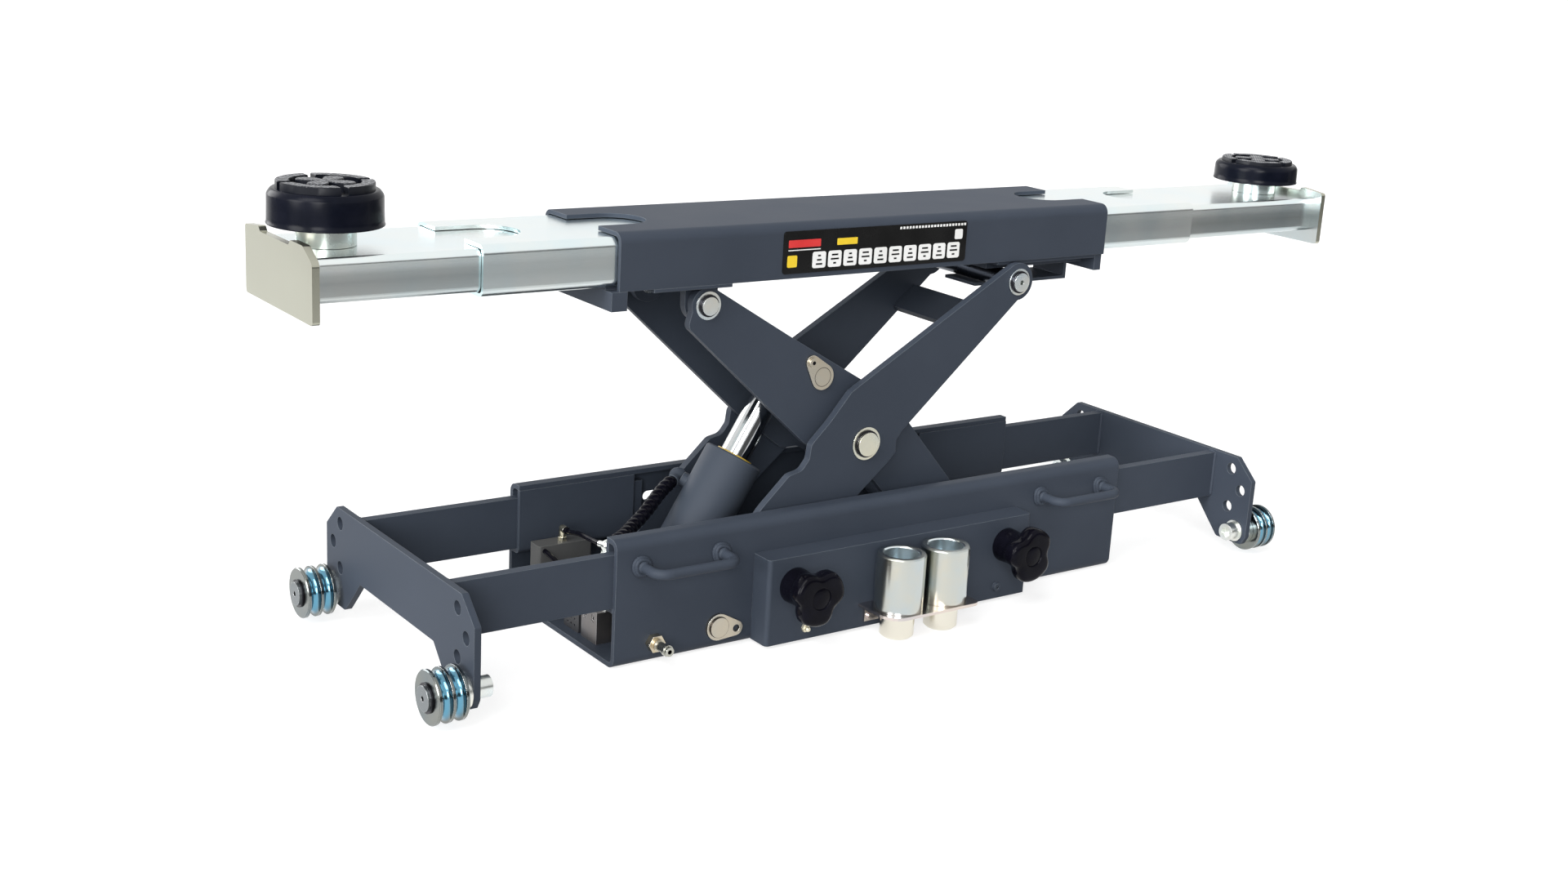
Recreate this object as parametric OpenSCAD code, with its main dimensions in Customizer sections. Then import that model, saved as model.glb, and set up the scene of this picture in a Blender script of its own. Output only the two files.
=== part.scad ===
// Rolling bridge jack: a scissor lift with a telescopic beam, standing in a tray that hangs
// between two roller carriages. Lengths are in millimetres, angles in degrees.
// X runs along the beam, Y runs away from the knobs and Z is up.
// The origin is the centre of the tray's underside.

/* [Tray] */
// Length of the tray
tray_len = 780; // [772:1:800]
// Width over the tray's side walls
tray_w = 253.4; // [250:0.2:262]
// Height of the tray
tray_h = 152.5; // [151:0.5:156]
// Thickness of the tray's sheet
tray_t = 6; // [4:0.5:7]
// Outer radius of the tray's bends
tray_bend = 12; // [9:0.5:14]
// Half width of the opening between the top lips
tray_mouth = 104; // [102:0.5:106]
// Length of the slot in the rear wall
rear_slot_len = 80; // [40:1:100]
// Height of the slot in the rear wall
rear_slot_h = 13; // [8:0.5:16]

/* [Carriages] */
// Distance from the centre to the inner face of an end plate
plate_x = 588; // [580:1:600]
// Thickness of an end plate
plate_t = 8; // [6:0.5:10]
// Height of an end plate's top edge above the tray's underside
plate_top = 139; // [137:0.5:144]
// Thickness of an arm bar
arm_bar_t = 12.1; // [8:0.1:14]
// Height of an arm bar
arm_bar_h = 64; // [56:1:68]
// Height of the guides' lower edge
guide_z = 66; // [62:0.5:70]
// Thickness of a guide's upright
guide_t = 5; // [3:0.5:6]
// Thickness of a guide's foot
guide_foot = 5.7; // [4:0.1:7]
// Length of a guide
guide_len = 160; // [120:5:180]
// Distance from the centre to the inner end of a front arm
front_arm_x = 150; // [148:1:165]
// Distance from the centre to the inner end of a rear arm
rear_arm_x = 215; // [210:1:225]
// Radius of the spare holes in the end plates
spare_hole_r = 8; // [5:0.5:9]

/* [Rollers] */
// Distance from the centre plane to a roller's axis
roller_y = 172; // [170:0.5:174]
// Height of a roller's axis
roller_z = 35.5; // [34:0.5:40]
// Outer radius of a roller
roller_r = 30; // [27:0.5:30.5]
// Width of a roller
roller_w = 35; // [30:1:40]
// Width of a roller's outer flanges
flange_w = 4; // [3:0.5:6]
// Width of the ridge between a roller's grooves
ridge_w = 3; // [2:0.5:6]
// Radius at the bottom of a roller's grooves
groove_r = 23; // [20:0.5:25]
// Radius of a roller's axle
axle_r = 14; // [10:0.5:15]
// Radius of the bolt that holds an axle
axle_bolt_r = 7.9; // [5:0.1:8]

/* [Knobs] */
// Distance from the centre to a knob's axis
knob_x = 166; // [160:1:170]
// Height of a knob's axis
knob_z = 76; // [74:0.5:82]
// Outer radius of a knob's head
knob_r = 35; // [30:0.5:38]
// Thickness of a knob's head
knob_head_t = 22; // [16:0.5:26]
// Radius of a knob's hub
hub_r = 22; // [16:0.5:24]
// Radius of a knob's screw
screw_r = 6; // [4:0.5:8]
// Radius of a thrust shoe
shoe_r = 14; // [11:0.5:15]
// Depth of the box behind the knobs
box_depth = 32; // [30:0.5:36]
// Thickness of the box's sheet
box_t = 3; // [2:0.5:4]

/* [Handles] */
// Radius of the handle bar
handle_bar_r = 6; // [5:0.5:8]
// Distance from the tray wall to the handle bar's centre
handle_reach = 39; // [36:1:48]
// Height of the handle bar's centre
handle_z = 120; // [112:1:128]

/* [Scissor] */
// Distance between the end pivots of an arm
arm_len = 591.3; // [585:0.1:597]
// Angle of the arms above the floor in the raised pose
arm_angle = 39.05; // [38:0.05:40]
// Position of the fixed pivot along the tray
pivot_x = -250.9; // [-254:0.1:-248]
// Height of the fixed pivot above the tray's underside
pivot_z = 28.1; // [28:0.1:30]
// Thickness of a scissor arm plate
arm_t = 10; // [6:0.5:11]
// Distance from the centre plane to the outer face of an outer arm
outer_arm_y = 92.5; // [91:0.5:94]
// Gap between an outer and an inner arm
arm_gap = 6.6; // [6.4:0.1:8]
// Radius of an outer arm's lower end
outer_low_r = 21; // [19:0.5:21.5]
// Radius of an outer arm's upper end
outer_top_r = 24; // [20:0.5:24]
// Radius of an inner arm's ends
inner_end_r = 21; // [19:0.5:21.5]

/* [Pins] */
// Radius of the fixed lower pivot pin
pivot_pin_r = 12.5; // [10:0.5:14]
// Radius of the centre pin
centre_pin_r = 15; // [12:0.5:17]
// Radius of the upper pivot pins
upper_pin_r = 10.75; // [9:0.25:12]
// Radius of the two slide shafts
slide_shaft_r = 12; // [10:0.5:12.5]
// Radius of the rod pin
rod_pin_r = 11.5; // [10:0.5:12]
// Position of the rod pin along the inner arm from its upper pivot
rod_pin_s = 193.4; // [190:0.2:196]
// Offset of the rod pin above the inner arm's centre line
rod_pin_n = 28.4; // [27:0.2:30]
// Radius of the rollers on the lower slide shaft
slide_roller_r = 21.8; // [19:0.2:22]

/* [Cylinder] */
// Outer radius of the barrel
barrel_r = 37; // [34:0.5:38]
// Bore radius of the barrel
barrel_bore_r = 31; // [27:0.5:32]
// Distance from the fixed pivot to the barrel's rim
barrel_top = 188.7; // [184:0.5:190]
// Radius of the piston rod
rod_r = 18.5; // [14:0.5:20]
// Radius of the rod's cross head
rod_head_r = 24.5; // [22:0.5:24.5]
// Width of the rod's cross head
rod_head_w = 96; // [70:1:100]

/* [Main beam] */
// Distance from the upper pivots to the beam's lower edge
beam_drop = 25.5; // [25:0.1:28]
// Left end of the main beam
beam_left = -373.6; // [-380:0.2:-366]
// Right end of the main beam
beam_right = 361.7; // [356:0.1:364]
// Width over the main beam
beam_w = 171.4; // [168:0.2:178]
// Height of the main beam
beam_h = 65.2; // [62:0.2:70]
// Thickness of the main beam's wall
beam_t = 5; // [3:0.5:5.5]
// Outer corner radius of the main beam
beam_bend = 12; // [9:0.5:14]
// Half width of the notches in the beams' tops
notch_r = 36; // [34:0.5:38]
// Depth of the notches in the main beam's top
beam_notch = 77; // [70:1:86]

/* [Telescopic tubes] */
// Side clearance between two tubes
tube_gap = 0.8; // [0.4:0.1:1.5]
// Wall of the sliding tubes
tube_t = 4; // [3:0.5:5]
// Length of each sliding tube
tube_len = 340; // [335:1:345]
// Outer corner radius of the middle tubes
tube_bend = 10; // [8:0.5:12]
// How far the left middle tube stands out of the main beam
left_out_1 = 161.3; // [150:0.1:170]
// How far the left inner tube stands out of its middle tube
left_out_2 = 181.6; // [172:0.1:190]
// How far the right middle tube stands out of the main beam
right_out_1 = 168.3; // [160:0.1:175]
// How far the right inner tube stands out of its middle tube
right_out_2 = 254.6; // [245:0.1:258]
// Depth of the notches in the middle tubes' tops
tube_notch = 80; // [74:1:88]
// Thickness of the end plates
end_plate_t = 8; // [5:0.5:10]
// Width of the end plates
end_plate_w = 179.2; // [174:0.2:182]

/* [Pads] */
// Distance from a tube's end to its pad's axis
pad_inset = 43.6; // [42:0.2:46]
// Radius of a rubber pad
pad_r = 60; // [50:0.5:64]
// Thickness of the left rubber pad
left_pad_h = 45; // [38:0.5:48]
// Thickness of the right rubber pad
right_pad_h = 32; // [28:0.5:38]
// Radius of a pad's steel collar
collar_r = 31; // [27:0.5:31.5]
// Height of the left pad's steel collar
left_collar_h = 20.6; // [18:0.2:26]
// Height of the right pad's steel collar
right_collar_h = 16.4; // [14:0.2:26]
// Radius of a pad's stem and of an adaptor's spigot
spigot_r = 21; // [17:0.5:22]

/* [Adaptors] */
// Radius of an adaptor's body
adaptor_r = 30; // [28:0.5:31]
// Height of an adaptor's body
adaptor_h = 70; // [60:1:78]
// Radial clearance of a spigot in its socket
socket_gap = 1; // [0.4:0.1:1.5]
// Distance between the two adaptors
adaptor_pitch = 68.5; // [64:0.5:76]

/* [Hose] */
// Outer diameter of the hose over its ribs
hose_d = 18; // [14:0.5:19]
// Depth of a rib
rib_depth = 1.6; // [0.8:0.1:2.5]
// Number of ribs
rib_count = 22; // [10:1:26]

/* [Hidden] */
$fn = 64;
PAINT = "#424854";
ZINC = "#b9bcc0";
BLACK = "#1d1e20";
BRASS = "#b8a56a";
STEEL = "#8a8d92";

// Running clearance of a pin in its hole, and the gap between separate pieces
fit = 0.05;
gap = 0.3;
// Overshoot of a cutting tool past the face that it cuts
over = 1;

// Tray: inner faces of the side walls and of the floor
wall_y = tray_w / 2;
wall_in = wall_y - tray_t;
floor_z = tray_t;

// Guides and arm bars of the carriages
arm_bar_y0 = wall_in - gap - arm_bar_t;
guide_y1 = arm_bar_y0 - gap;
guide_y0 = guide_y1 - guide_t;
arm_bar_z = guide_z + guide_foot + gap;
guide_top = tray_h - tray_t;
plate_x1 = plate_x + plate_t;

// Scissor: pivots in the raised pose
mid_s = arm_len / 2;
span_x = arm_len * cos(arm_angle);
span_z = arm_len * sin(arm_angle);
A1 = [pivot_x, pivot_z + span_z];
B2 = [pivot_x + span_x, pivot_z + span_z];
A2 = [pivot_x + span_x, pivot_z];
C = [pivot_x + span_x / 2, pivot_z + span_z / 2];
outer_y0 = outer_arm_y - arm_t;
inner_y1 = outer_y0 - arm_gap;
inner_y0 = inner_y1 - arm_t;
pin_end_y = outer_arm_y + 7;

// Rod pin, and the cylinder's axis from the fixed pivot to it
rod_at = [
    A1[0] + rod_pin_s * cos(arm_angle) + rod_pin_n * sin(arm_angle),
    A1[1] - rod_pin_s * sin(arm_angle) + rod_pin_n * cos(arm_angle)
];
cyl_dx = rod_at[0] - pivot_x;
cyl_dz = rod_at[1] - pivot_z;
cyl_angle = atan2(cyl_dz, cyl_dx);
cyl_len = norm([cyl_dx, cyl_dz]);
// Play of the rod pin in the cross head's slot, across and along the rod
slot_side = 10.5;
slot_end = 2;
eye_half = 30;
eye_r = 21.5;
gland_len = 25;
piston_h = 20;
piston_d = 150;
bore_start = 34;

// Beam levels
beam_z = A1[1] + beam_drop;
beam_top = beam_z + beam_h;
strip_top = 3.1;
tube1_z0 = beam_z + strip_top + gap;
tube1_z1 = beam_top - beam_t - tube_gap;
tube1_y = beam_w / 2 - beam_t - tube_gap;
tube2_z0 = tube1_z0 + tube_t + tube_gap;
tube2_z1 = tube1_z1 - tube_t - tube_gap;
tube2_y = tube1_y - tube_t - tube_gap;
left_end_1 = beam_left - left_out_1;
left_end_2 = left_end_1 - left_out_2;
right_end_1 = beam_right + right_out_1;
right_end_2 = right_end_1 + right_out_2;
left_pad_x = left_end_2 + pad_inset;
right_pad_x = right_end_2 - pad_inset;

// Box with the knobs, and the bracket on its front
box_x0 = -203;
box_x1 = 206;
box_z0 = 4;
box_z1 = 111;
box_front_y = -wall_y - box_depth;
shoe_end_y = -wall_in;
shoe_len = 15.3;
shelf_z = 32;
shelf_t = 3.7;
adaptor_mid_x = 1.25;
adaptor_y = box_front_y - adaptor_r - 3.5;
socket_r = spigot_r + socket_gap;

// Air inlet and rear slot in the tray's walls
inlet_x = 52 - tray_len / 2;
inlet_z = 25;
inlet_r = 8;
rear_slot_z = 109.5;

// Oil tank, air motor and valve block in the tray's left end
tank_x = 5 - tray_len / 2;
tank_len = 72;
tank_y = 60;
tank_w = 24;
tank_top = 88;
motor_x = 13 - tray_len / 2;
motor_y = -6.5;
motor_w = 35;
block_y = -47.5;
block_w = 35;
block_h = 39;
elbow_at = [42 - tray_len / 2, tank_y + 11, tank_top];
elbow_h = 15;
elbow_reach = 8;

// Routes of the air tubes, x from the tray's end
air_route = from_end([
    [42, elbow_at[1] - elbow_reach - gap, 103], [42, 56, 103.2], [41, 48, 105], [38, 34, 109],
    [34, 14, 114], [31, -12, 117], [28.5, -32, 119.5], [28, -42, 120.6]
]);
vent_route = from_end([
    [12, 59.5, 82], [12, 50, 81], [14, 34, 76], [17, 12, 66], [19, -12, 56], [20, -32, 52],
    [20, -42, 53], [20, -45.8, 49], [20, -46, 45.4]
]);
air_tube_r = 3;

// Route of the hose's centre line, from the riser to the port on the barrel
hose_route = concat(
    from_end([[40, -52, 124], [54, -44, 124.6]]),
    [
        [-318, -29.5, 125.6], [-300, -15.5, 128], [-282, -4, 133], [-266, 6, 139.5],
        [-250, 16, 146.5], [-234, 26, 152.2], [-218.1, 33.3, 156.7]
    ]
);

// Centre of the riser's fitting, in line with the hose's first stretch
union_reach = 14.5;
union_at = hose_route[0] - union_reach * unit(hose_route[1] - hose_route[0]);

// Shoulder of an axle and the axle's outer end
shoulder_t = 7.7;
axle_x1 = plate_x1 + shoulder_t + gap + roller_w + gap + 4.7;

// Ears of the upper pivots
ear_y0 = 52;
ear_y1 = 62;

// Width of the bar under the beam's right end, which the shaft's track ends against
right_bar_w = 11.7;

// Rollers on the lower slide shaft
slide_roller_y0 = inner_y1 + 4.1;
slide_roller_w = 20;

// Pads: post in the rubber, and the height at which each rubber starts
post_r = 12;
post_h = 20;
left_pad_z = tube2_z1 + 2 * gap + left_collar_h;
right_pad_z = tube2_z1 + 2 * gap + right_collar_h;

// Lower end of the barrel, and the port that the hose's elbow stands on
barrel_start = 26;
port_d = 135;
port_angle = 130;
port_reach = 50;
port_u = [
    cos(port_angle) * sin(cyl_angle), sin(port_angle), -cos(port_angle) * cos(cyl_angle)
];
port_at = [pivot_x, 0, pivot_z] + port_d * [cos(cyl_angle), 0, sin(cyl_angle)]
    + port_reach * port_u;

// Depth of the screw's socket in a thrust shoe
shoe_socket = 8;

// Unit vector
function unit(v) = v / norm(v);

// Route with x counted from the tray's left end
function from_end(p) = [for (q = p) [q[0] - tray_len / 2, q[1], q[2]]];

// Arc that rounds corner p between its neighbours a and b by radius p[2]
function corner(a, p, b, steps = 6) =
    let (o = [p[0], p[1]])
    p[2] == 0 ? [o] :
    let (
        u = unit([a[0], a[1]] - o),
        v = unit([b[0], b[1]] - o),
        half = acos(u * v) / 2,
        c = o + unit(u + v) * p[2] / sin(half),
        s = o + u * p[2] / tan(half) - c,
        e = o + v * p[2] / tan(half) - c,
        a0 = atan2(s[1], s[0]),
        turn = atan2(s[0] * e[1] - s[1] * e[0], s * e)
    )
    [for (i = [0 : steps]) c + p[2] * [cos(a0 + turn * i / steps), sin(a0 + turn * i / steps)]];

// Closed outline from corners [x, y, radius]
function rounded(p) =
    let (n = len(p))
    [for (i = [0 : n - 1]) each corner(p[(i + n - 1) % n], p[i], p[(i + 1) % n])];

// Rectangle with round corners, centred
module round_rect(w, h, r) {
    square([w - 2 * r, h], center = true);
    square([w, h - 2 * r], center = true);
    for (x = [-1, 1], y = [-1, 1])
        translate([x * (w / 2 - r), y * (h / 2 - r)]) circle(r = r);
}

// Straight slot centred on the origin: l is its whole length, r its half width
module slot_2d(l, r) {
    square([l - 2 * r, 2 * r], center = true);
    for (x = [-1, 1])
        translate([x * (l / 2 - r), 0]) circle(r = r);
}

// Plate in the XZ plane between y0 and y1
module plate_y(y0, y1) {
    translate([0, y1, 0]) rotate([90, 0, 0]) linear_extrude(y1 - y0) children();
}

// Section in the YZ plane drawn along X between x0 and x1
module along_x(x0, x1) {
    translate([x0, 0, 0]) rotate([90, 0, 90]) linear_extrude(x1 - x0) children();
}

// Round bars along each axis
module bar_x(y, z, r, x0, x1) {
    translate([x0, y, z]) rotate([0, 90, 0]) cylinder(r = r, h = x1 - x0);
}

module bar_y(x, z, r, y0, y1) {
    translate([x, y1, z]) rotate([90, 0, 0]) cylinder(r = r, h = y1 - y0);
}

module bar_z(x, y, r, z0, z1) {
    translate([x, y, z0]) cylinder(r = r, h = z1 - z0);
}

// Ring along Y
module ring_y(x, z, r_in, r_out, y0, y1) {
    difference() {
        bar_y(x, z, r_out, y0, y1);
        bar_y(x, z, r_in, y0 - over, y1 + over);
    }
}

// Turns the Z axis onto the line from a to b and starts at a
module aim(a, b) {
    d = b - a;
    translate(a) rotate([0, acos(d[2] / norm(d)), atan2(d[1], d[0])]) children();
}

// Places children at the front and, mirrored, at the rear
module both_sides() {
    children();
    mirror([0, 1, 0]) children();
}

// Mirrors children to the left half when side is -1
module on_side(side) {
    mirror([side < 0 ? 1 : 0, 0, 0]) children();
}

// Hexagon socket in a screw head, along Z from 0 downwards
module hex_socket(across, depth) {
    translate([0, 0, -depth]) cylinder(r = across / sqrt(3), h = depth + over, $fn = 6);
}

// Point at t on the smooth curve from p[i] to p[i + 1]
function spline(p, i, t) =
    let (
        n = len(p) - 1,
        a = p[max(i - 1, 0)],
        b = p[i],
        c = p[min(i + 1, n)],
        d = p[min(i + 2, n)]
    )
    0.5 * (2 * b + (c - a) * t + (2 * a - 5 * b + 4 * c - d) * t * t
        + (3 * b - a - 3 * c + d) * t * t * t);

// Point at the fraction f of a route
function station(p, f) =
    let (s = f * (len(p) - 1), i = min(floor(s), len(p) - 2))
    spline(p, i, s - i);

// Ring of points of radius r round station c with tangent t
function ring(c, t, r, sides) =
    let (u = unit(cross(t, [0, 0, 1])), v = cross(u, t))
    [for (k = [0 : sides - 1]) c + r * (cos(360 * k / sides) * u + sin(360 * k / sides) * v)];

// Tube along route p: r_out lists the outer radius at each station, r_in is the bore
module swept_tube(p, r_out, r_in, sides = 8) {
    n = len(r_out);
    c = [for (i = [0 : n - 1]) station(p, i / (n - 1))];
    t = [for (i = [0 : n - 1]) unit(c[min(i + 1, n - 1)] - c[max(i - 1, 0)])];
    outer = [for (i = [0 : n - 1]) each ring(c[i], t[i], r_out[i], sides)];
    inner = [for (i = [0 : n - 1]) each ring(c[i], t[i], r_in, sides)];
    m = n * sides;
    function q(i, k) = i * sides + k % sides;
    walls = [for (i = [0 : n - 2], k = [0 : sides - 1]) each [
        [q(i, k), q(i, k + 1), q(i + 1, k + 1)],
        [q(i, k), q(i + 1, k + 1), q(i + 1, k)],
        [m + q(i, k), m + q(i + 1, k + 1), m + q(i, k + 1)],
        [m + q(i, k), m + q(i + 1, k), m + q(i + 1, k + 1)]
    ]];
    ends = [for (k = [0 : sides - 1]) each [
        [q(0, k), m + q(0, k + 1), q(0, k + 1)],
        [q(0, k), m + q(0, k), m + q(0, k + 1)],
        [q(n - 1, k), q(n - 1, k + 1), m + q(n - 1, k + 1)],
        [q(n - 1, k), m + q(n - 1, k + 1), m + q(n - 1, k)]
    ]];
    polyhedron(points = concat(outer, inner), faces = concat(walls, ends), convexity = 8);
}

// Tray sheet: floor, side walls and top lips in one fold
module tray_section() {
    translate([0, tray_h / 2]) difference() {
        round_rect(tray_w, tray_h, tray_bend);
        round_rect(tray_w - 2 * tray_t, tray_h - 2 * tray_t, tray_bend - tray_t);
        translate([-tray_mouth, 0]) square([2 * tray_mouth, tray_h]);
    }
}

module base_tray() {
    color(PAINT) difference() {
        along_x(-tray_len / 2, tray_len / 2) tray_section();
        bar_y(pivot_x, pivot_z, pivot_pin_r + fit, -wall_y - over, wall_y + over);
        for (s = [-1, 1])
            bar_y(s * knob_x, knob_z, shoe_r + gap, -wall_y - over, -wall_in + over);
        bar_y(inlet_x, inlet_z, inlet_r + fit, -wall_y - over, -wall_in + over);
        translate([-knob_x, 0, rear_slot_z])
            plate_y(wall_in - over, wall_y + over) slot_2d(rear_slot_len, rear_slot_h / 2);
    }
}

// Four angle rails that carry the arm bars along the tray's walls
module arm_guides() {
    guide_bend = 7;
    outline = [
        [guide_y0, guide_top, 0], [guide_y0, guide_z, guide_bend], [wall_in, guide_z, 0],
        [wall_in, guide_z + guide_foot, 0], [guide_y1, guide_z + guide_foot, 0.5],
        [guide_y1, guide_top, 0]
    ];
    color(PAINT) for (side = [-1, 1])
        on_side(side) both_sides()
            along_x(tray_len / 2 - guide_len, tray_len / 2) polygon(rounded(outline));
}

// Sheet box on the tray's front wall, with a threaded boss for each knob
module knob_box() {
    box_corner = 5;
    boss_r = 15;
    shoe_travel = 6;
    boss_y = shoe_end_y - shoe_len - shoe_travel - 2;
    outline = [
        [box_x0, -wall_y, 0], [box_x0, box_front_y, box_corner],
        [box_x1, box_front_y, box_corner], [box_x1, -wall_y, 0]
    ];
    inside = [
        [box_x0 + box_t, -wall_y + over, 0], [box_x0 + box_t, box_front_y + box_t, 2],
        [box_x1 - box_t, box_front_y + box_t, 2], [box_x1 - box_t, -wall_y + over, 0]
    ];
    color(PAINT) difference() {
        union() {
            difference() {
                translate([0, 0, box_z0]) linear_extrude(box_z1 - box_z0)
                    polygon(rounded(outline));
                translate([0, 0, box_z0 + box_t]) linear_extrude(box_z1 - box_z0 - 2 * box_t)
                    polygon(rounded(inside));
            }
            for (s = [-1, 1])
                bar_y(s * knob_x, knob_z, boss_r, box_front_y + box_t / 2, boss_y);
        }
        for (s = [-1, 1])
            bar_y(s * knob_x, knob_z, screw_r + fit, box_front_y - over, boss_y + over);
    }
}

// Painted screw and grease nipple on the box's front
module box_fasteners() {
    screw_at = [box_x1 - 51.3, box_z0 + 15.9];
    nipple_at = [box_x0 + 55.6, box_z0 + 15.1];
    color(PAINT) translate([screw_at[0], box_front_y, screw_at[1]]) rotate([90, 0, 0])
        difference() {
            cylinder(r1 = 6.5, r2 = 5, h = 4);
            translate([0, 0, 4]) hex_socket(4, 2.2);
        }
    color(ZINC) translate([nipple_at[0], box_front_y, nipple_at[1]]) rotate([90, 0, 0]) {
        cylinder(r = 5.2, h = 4, $fn = 6);
        cylinder(r = 3, h = 7);
        translate([0, 0, 7]) sphere(r = 3.2);
    }
}

// Bent round bar with a flared foot at each end
module handle(x0, x1) {
    bend = 15;
    foot_len = 9;
    foot_r = 11;
    y = -wall_y - handle_reach;
    bar_x(y, handle_z, handle_bar_r, x0 + bend, x1 - bend);
    for (x = [x0, x1]) {
        bar_y(x, handle_z, handle_bar_r, y + bend, -wall_y);
        translate([x, -wall_y, handle_z]) rotate([90, 0, 0])
            cylinder(r1 = foot_r, r2 = handle_bar_r, h = foot_len);
    }
    translate([x0 + bend, y + bend, handle_z]) rotate([0, 0, 180])
        rotate_extrude(angle = 90) translate([bend, 0]) circle(r = handle_bar_r);
    translate([x1 - bend, y + bend, handle_z]) rotate([0, 0, 270])
        rotate_extrude(angle = 90) translate([bend, 0]) circle(r = handle_bar_r);
}

module carry_handles() {
    handle_len = 107;
    left_inset = 32;
    right_inset = 34;
    color(PAINT) {
        handle(left_inset - tray_len / 2, left_inset - tray_len / 2 + handle_len);
        handle(tray_len / 2 - right_inset - handle_len, tray_len / 2 - right_inset);
    }
}

// Drop-shaped keeper: large end r1 on the origin, small end r2 at distance d along X
module drop_2d(r1, r2, d) {
    a = asin((r1 - r2) / d);
    circle(r = r1);
    translate([d, 0]) circle(r = r2);
    polygon([
        r1 * [sin(a), cos(a)], [d, 0] + r2 * [sin(a), cos(a)],
        [d, 0] + r2 * [sin(a), -cos(a)], r1 * [sin(a), -cos(a)]
    ]);
}

// Fixed pivot pin through the tray, with a keeper in front and a washer and clip behind
module lower_pivot_pin() {
    keeper_r = 16.2;
    keeper_end_r = 9;
    keeper_len = 25;
    keeper_t = 4;
    keeper_tilt = -12;
    pin_out = keeper_t + 2.3;
    color(ZINC) {
        bar_y(pivot_x, pivot_z, pivot_pin_r, -wall_y - pin_out, wall_y + pin_out);
        translate([pivot_x, 0, pivot_z]) rotate([0, -keeper_tilt, 0])
            plate_y(-wall_y - keeper_t, -wall_y) difference() {
                drop_2d(keeper_r, keeper_end_r, keeper_len);
                translate([keeper_len, 0]) circle(r = 4.5);
            }
        ring_y(pivot_x, pivot_z, pivot_pin_r + fit, pivot_pin_r + 5, wall_y, wall_y + 2.5);
        ring_y(pivot_x, pivot_z, pivot_pin_r - 0.5, pivot_pin_r + 2.5, wall_y + 2.8, wall_y + 4.3);
    }
}

// Tubes that keep the arms and the cylinder apart on the fixed pivot pin
module lower_pivot_spacers() {
    spacer_r = pivot_pin_r + 5.5;
    color(PAINT) both_sides() {
        ring_y(pivot_x, pivot_z, pivot_pin_r + fit, spacer_r, outer_arm_y + gap, wall_in - 2 * gap);
        ring_y(pivot_x, pivot_z, pivot_pin_r + fit, spacer_r, eye_half + gap, outer_y0 - gap);
    }
}

// Shelf on the box's front that holds the two spare adaptors
module adaptor_bracket() {
    shelf_half = adaptor_pitch / 2 + adaptor_r + 5;
    shelf_y = adaptor_y - adaptor_r - 3;
    tab_w = 22;
    tab_h = 20;
    tab_inset = 8;
    shelf = [
        [-shelf_half, box_front_y, 0], [-shelf_half, shelf_y, 24],
        [shelf_half, shelf_y, 9], [shelf_half, box_front_y, 0]
    ];
    color(ZINC) translate([adaptor_mid_x, 0, 0]) {
        difference() {
            translate([0, 0, shelf_z]) linear_extrude(shelf_t) polygon(rounded(shelf));
            for (s = [-1, 1])
                bar_z(s * adaptor_pitch / 2, adaptor_y, socket_r, shelf_z - over,
                    shelf_z + shelf_t + over);
        }
        for (s = [-1, 1]) {
            x = s * (shelf_half - tab_inset - tab_w / 2);
            translate([x, 0, shelf_z - tab_h / 2 + 1])
                plate_y(box_front_y - shelf_t, box_front_y) square([tab_w, tab_h + 2], center = true);
            translate([x + s * 3, box_front_y - shelf_t, shelf_z - tab_h / 2 - 4])
                rotate([90, 0, 0]) cylinder(r = 4.5, h = 3);
        }
    }
}

// Oil tank against the tray's rear wall
module pump_reservoir() {
    edge = 3;
    color("#7d7f80") translate([tank_x + tank_len / 2, tank_y + tank_w / 2, floor_z])
        linear_extrude(tank_top - floor_z) round_rect(tank_len, tank_w, edge);
}

// Air motor in its black housing, with a grid of vent holes in the end
module air_motor() {
    motor_len = 72;
    motor_h = 30;
    hole_r = 1.4;
    hole_step = 8;
    color(BLACK) difference() {
        translate([motor_x, 0, floor_z + motor_h / 2])
            along_x(0, motor_len) translate([motor_y, 0]) round_rect(motor_w, motor_h, 3);
        for (y = [-1 : 1], z = [-1 : 1])
            bar_x(motor_y + y * hole_step, floor_z + motor_h / 2 + z * hole_step, hole_r,
                motor_x - over, motor_x + 3);
    }
}

// Valve block with its pump barrel and cap screws
module valve_block() {
    block_len = 62;
    head_r = 5;
    head_x = motor_x + 4;
    head_z = floor_z + block_h - 9;
    color(STEEL) {
        difference() {
            translate([motor_x, block_y - block_w / 2, floor_z]) cube([block_len, block_w, block_h]);
            for (s = [-1, 1])
                bar_x(block_y + s * 9, head_z, head_r, motor_x - over, head_x);
        }
        for (s = [-1, 1])
            translate([head_x, block_y + s * 9, head_z]) rotate([0, -90, 0])
                difference() {
                    cylinder(r = head_r - gap, h = 3.5);
                    translate([0, 0, 3.5]) hex_socket(4, 2.5);
                }
        bar_x(block_y, floor_z + 13, 10, motor_x + block_len, motor_x + block_len + 12);
    }
}

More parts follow.
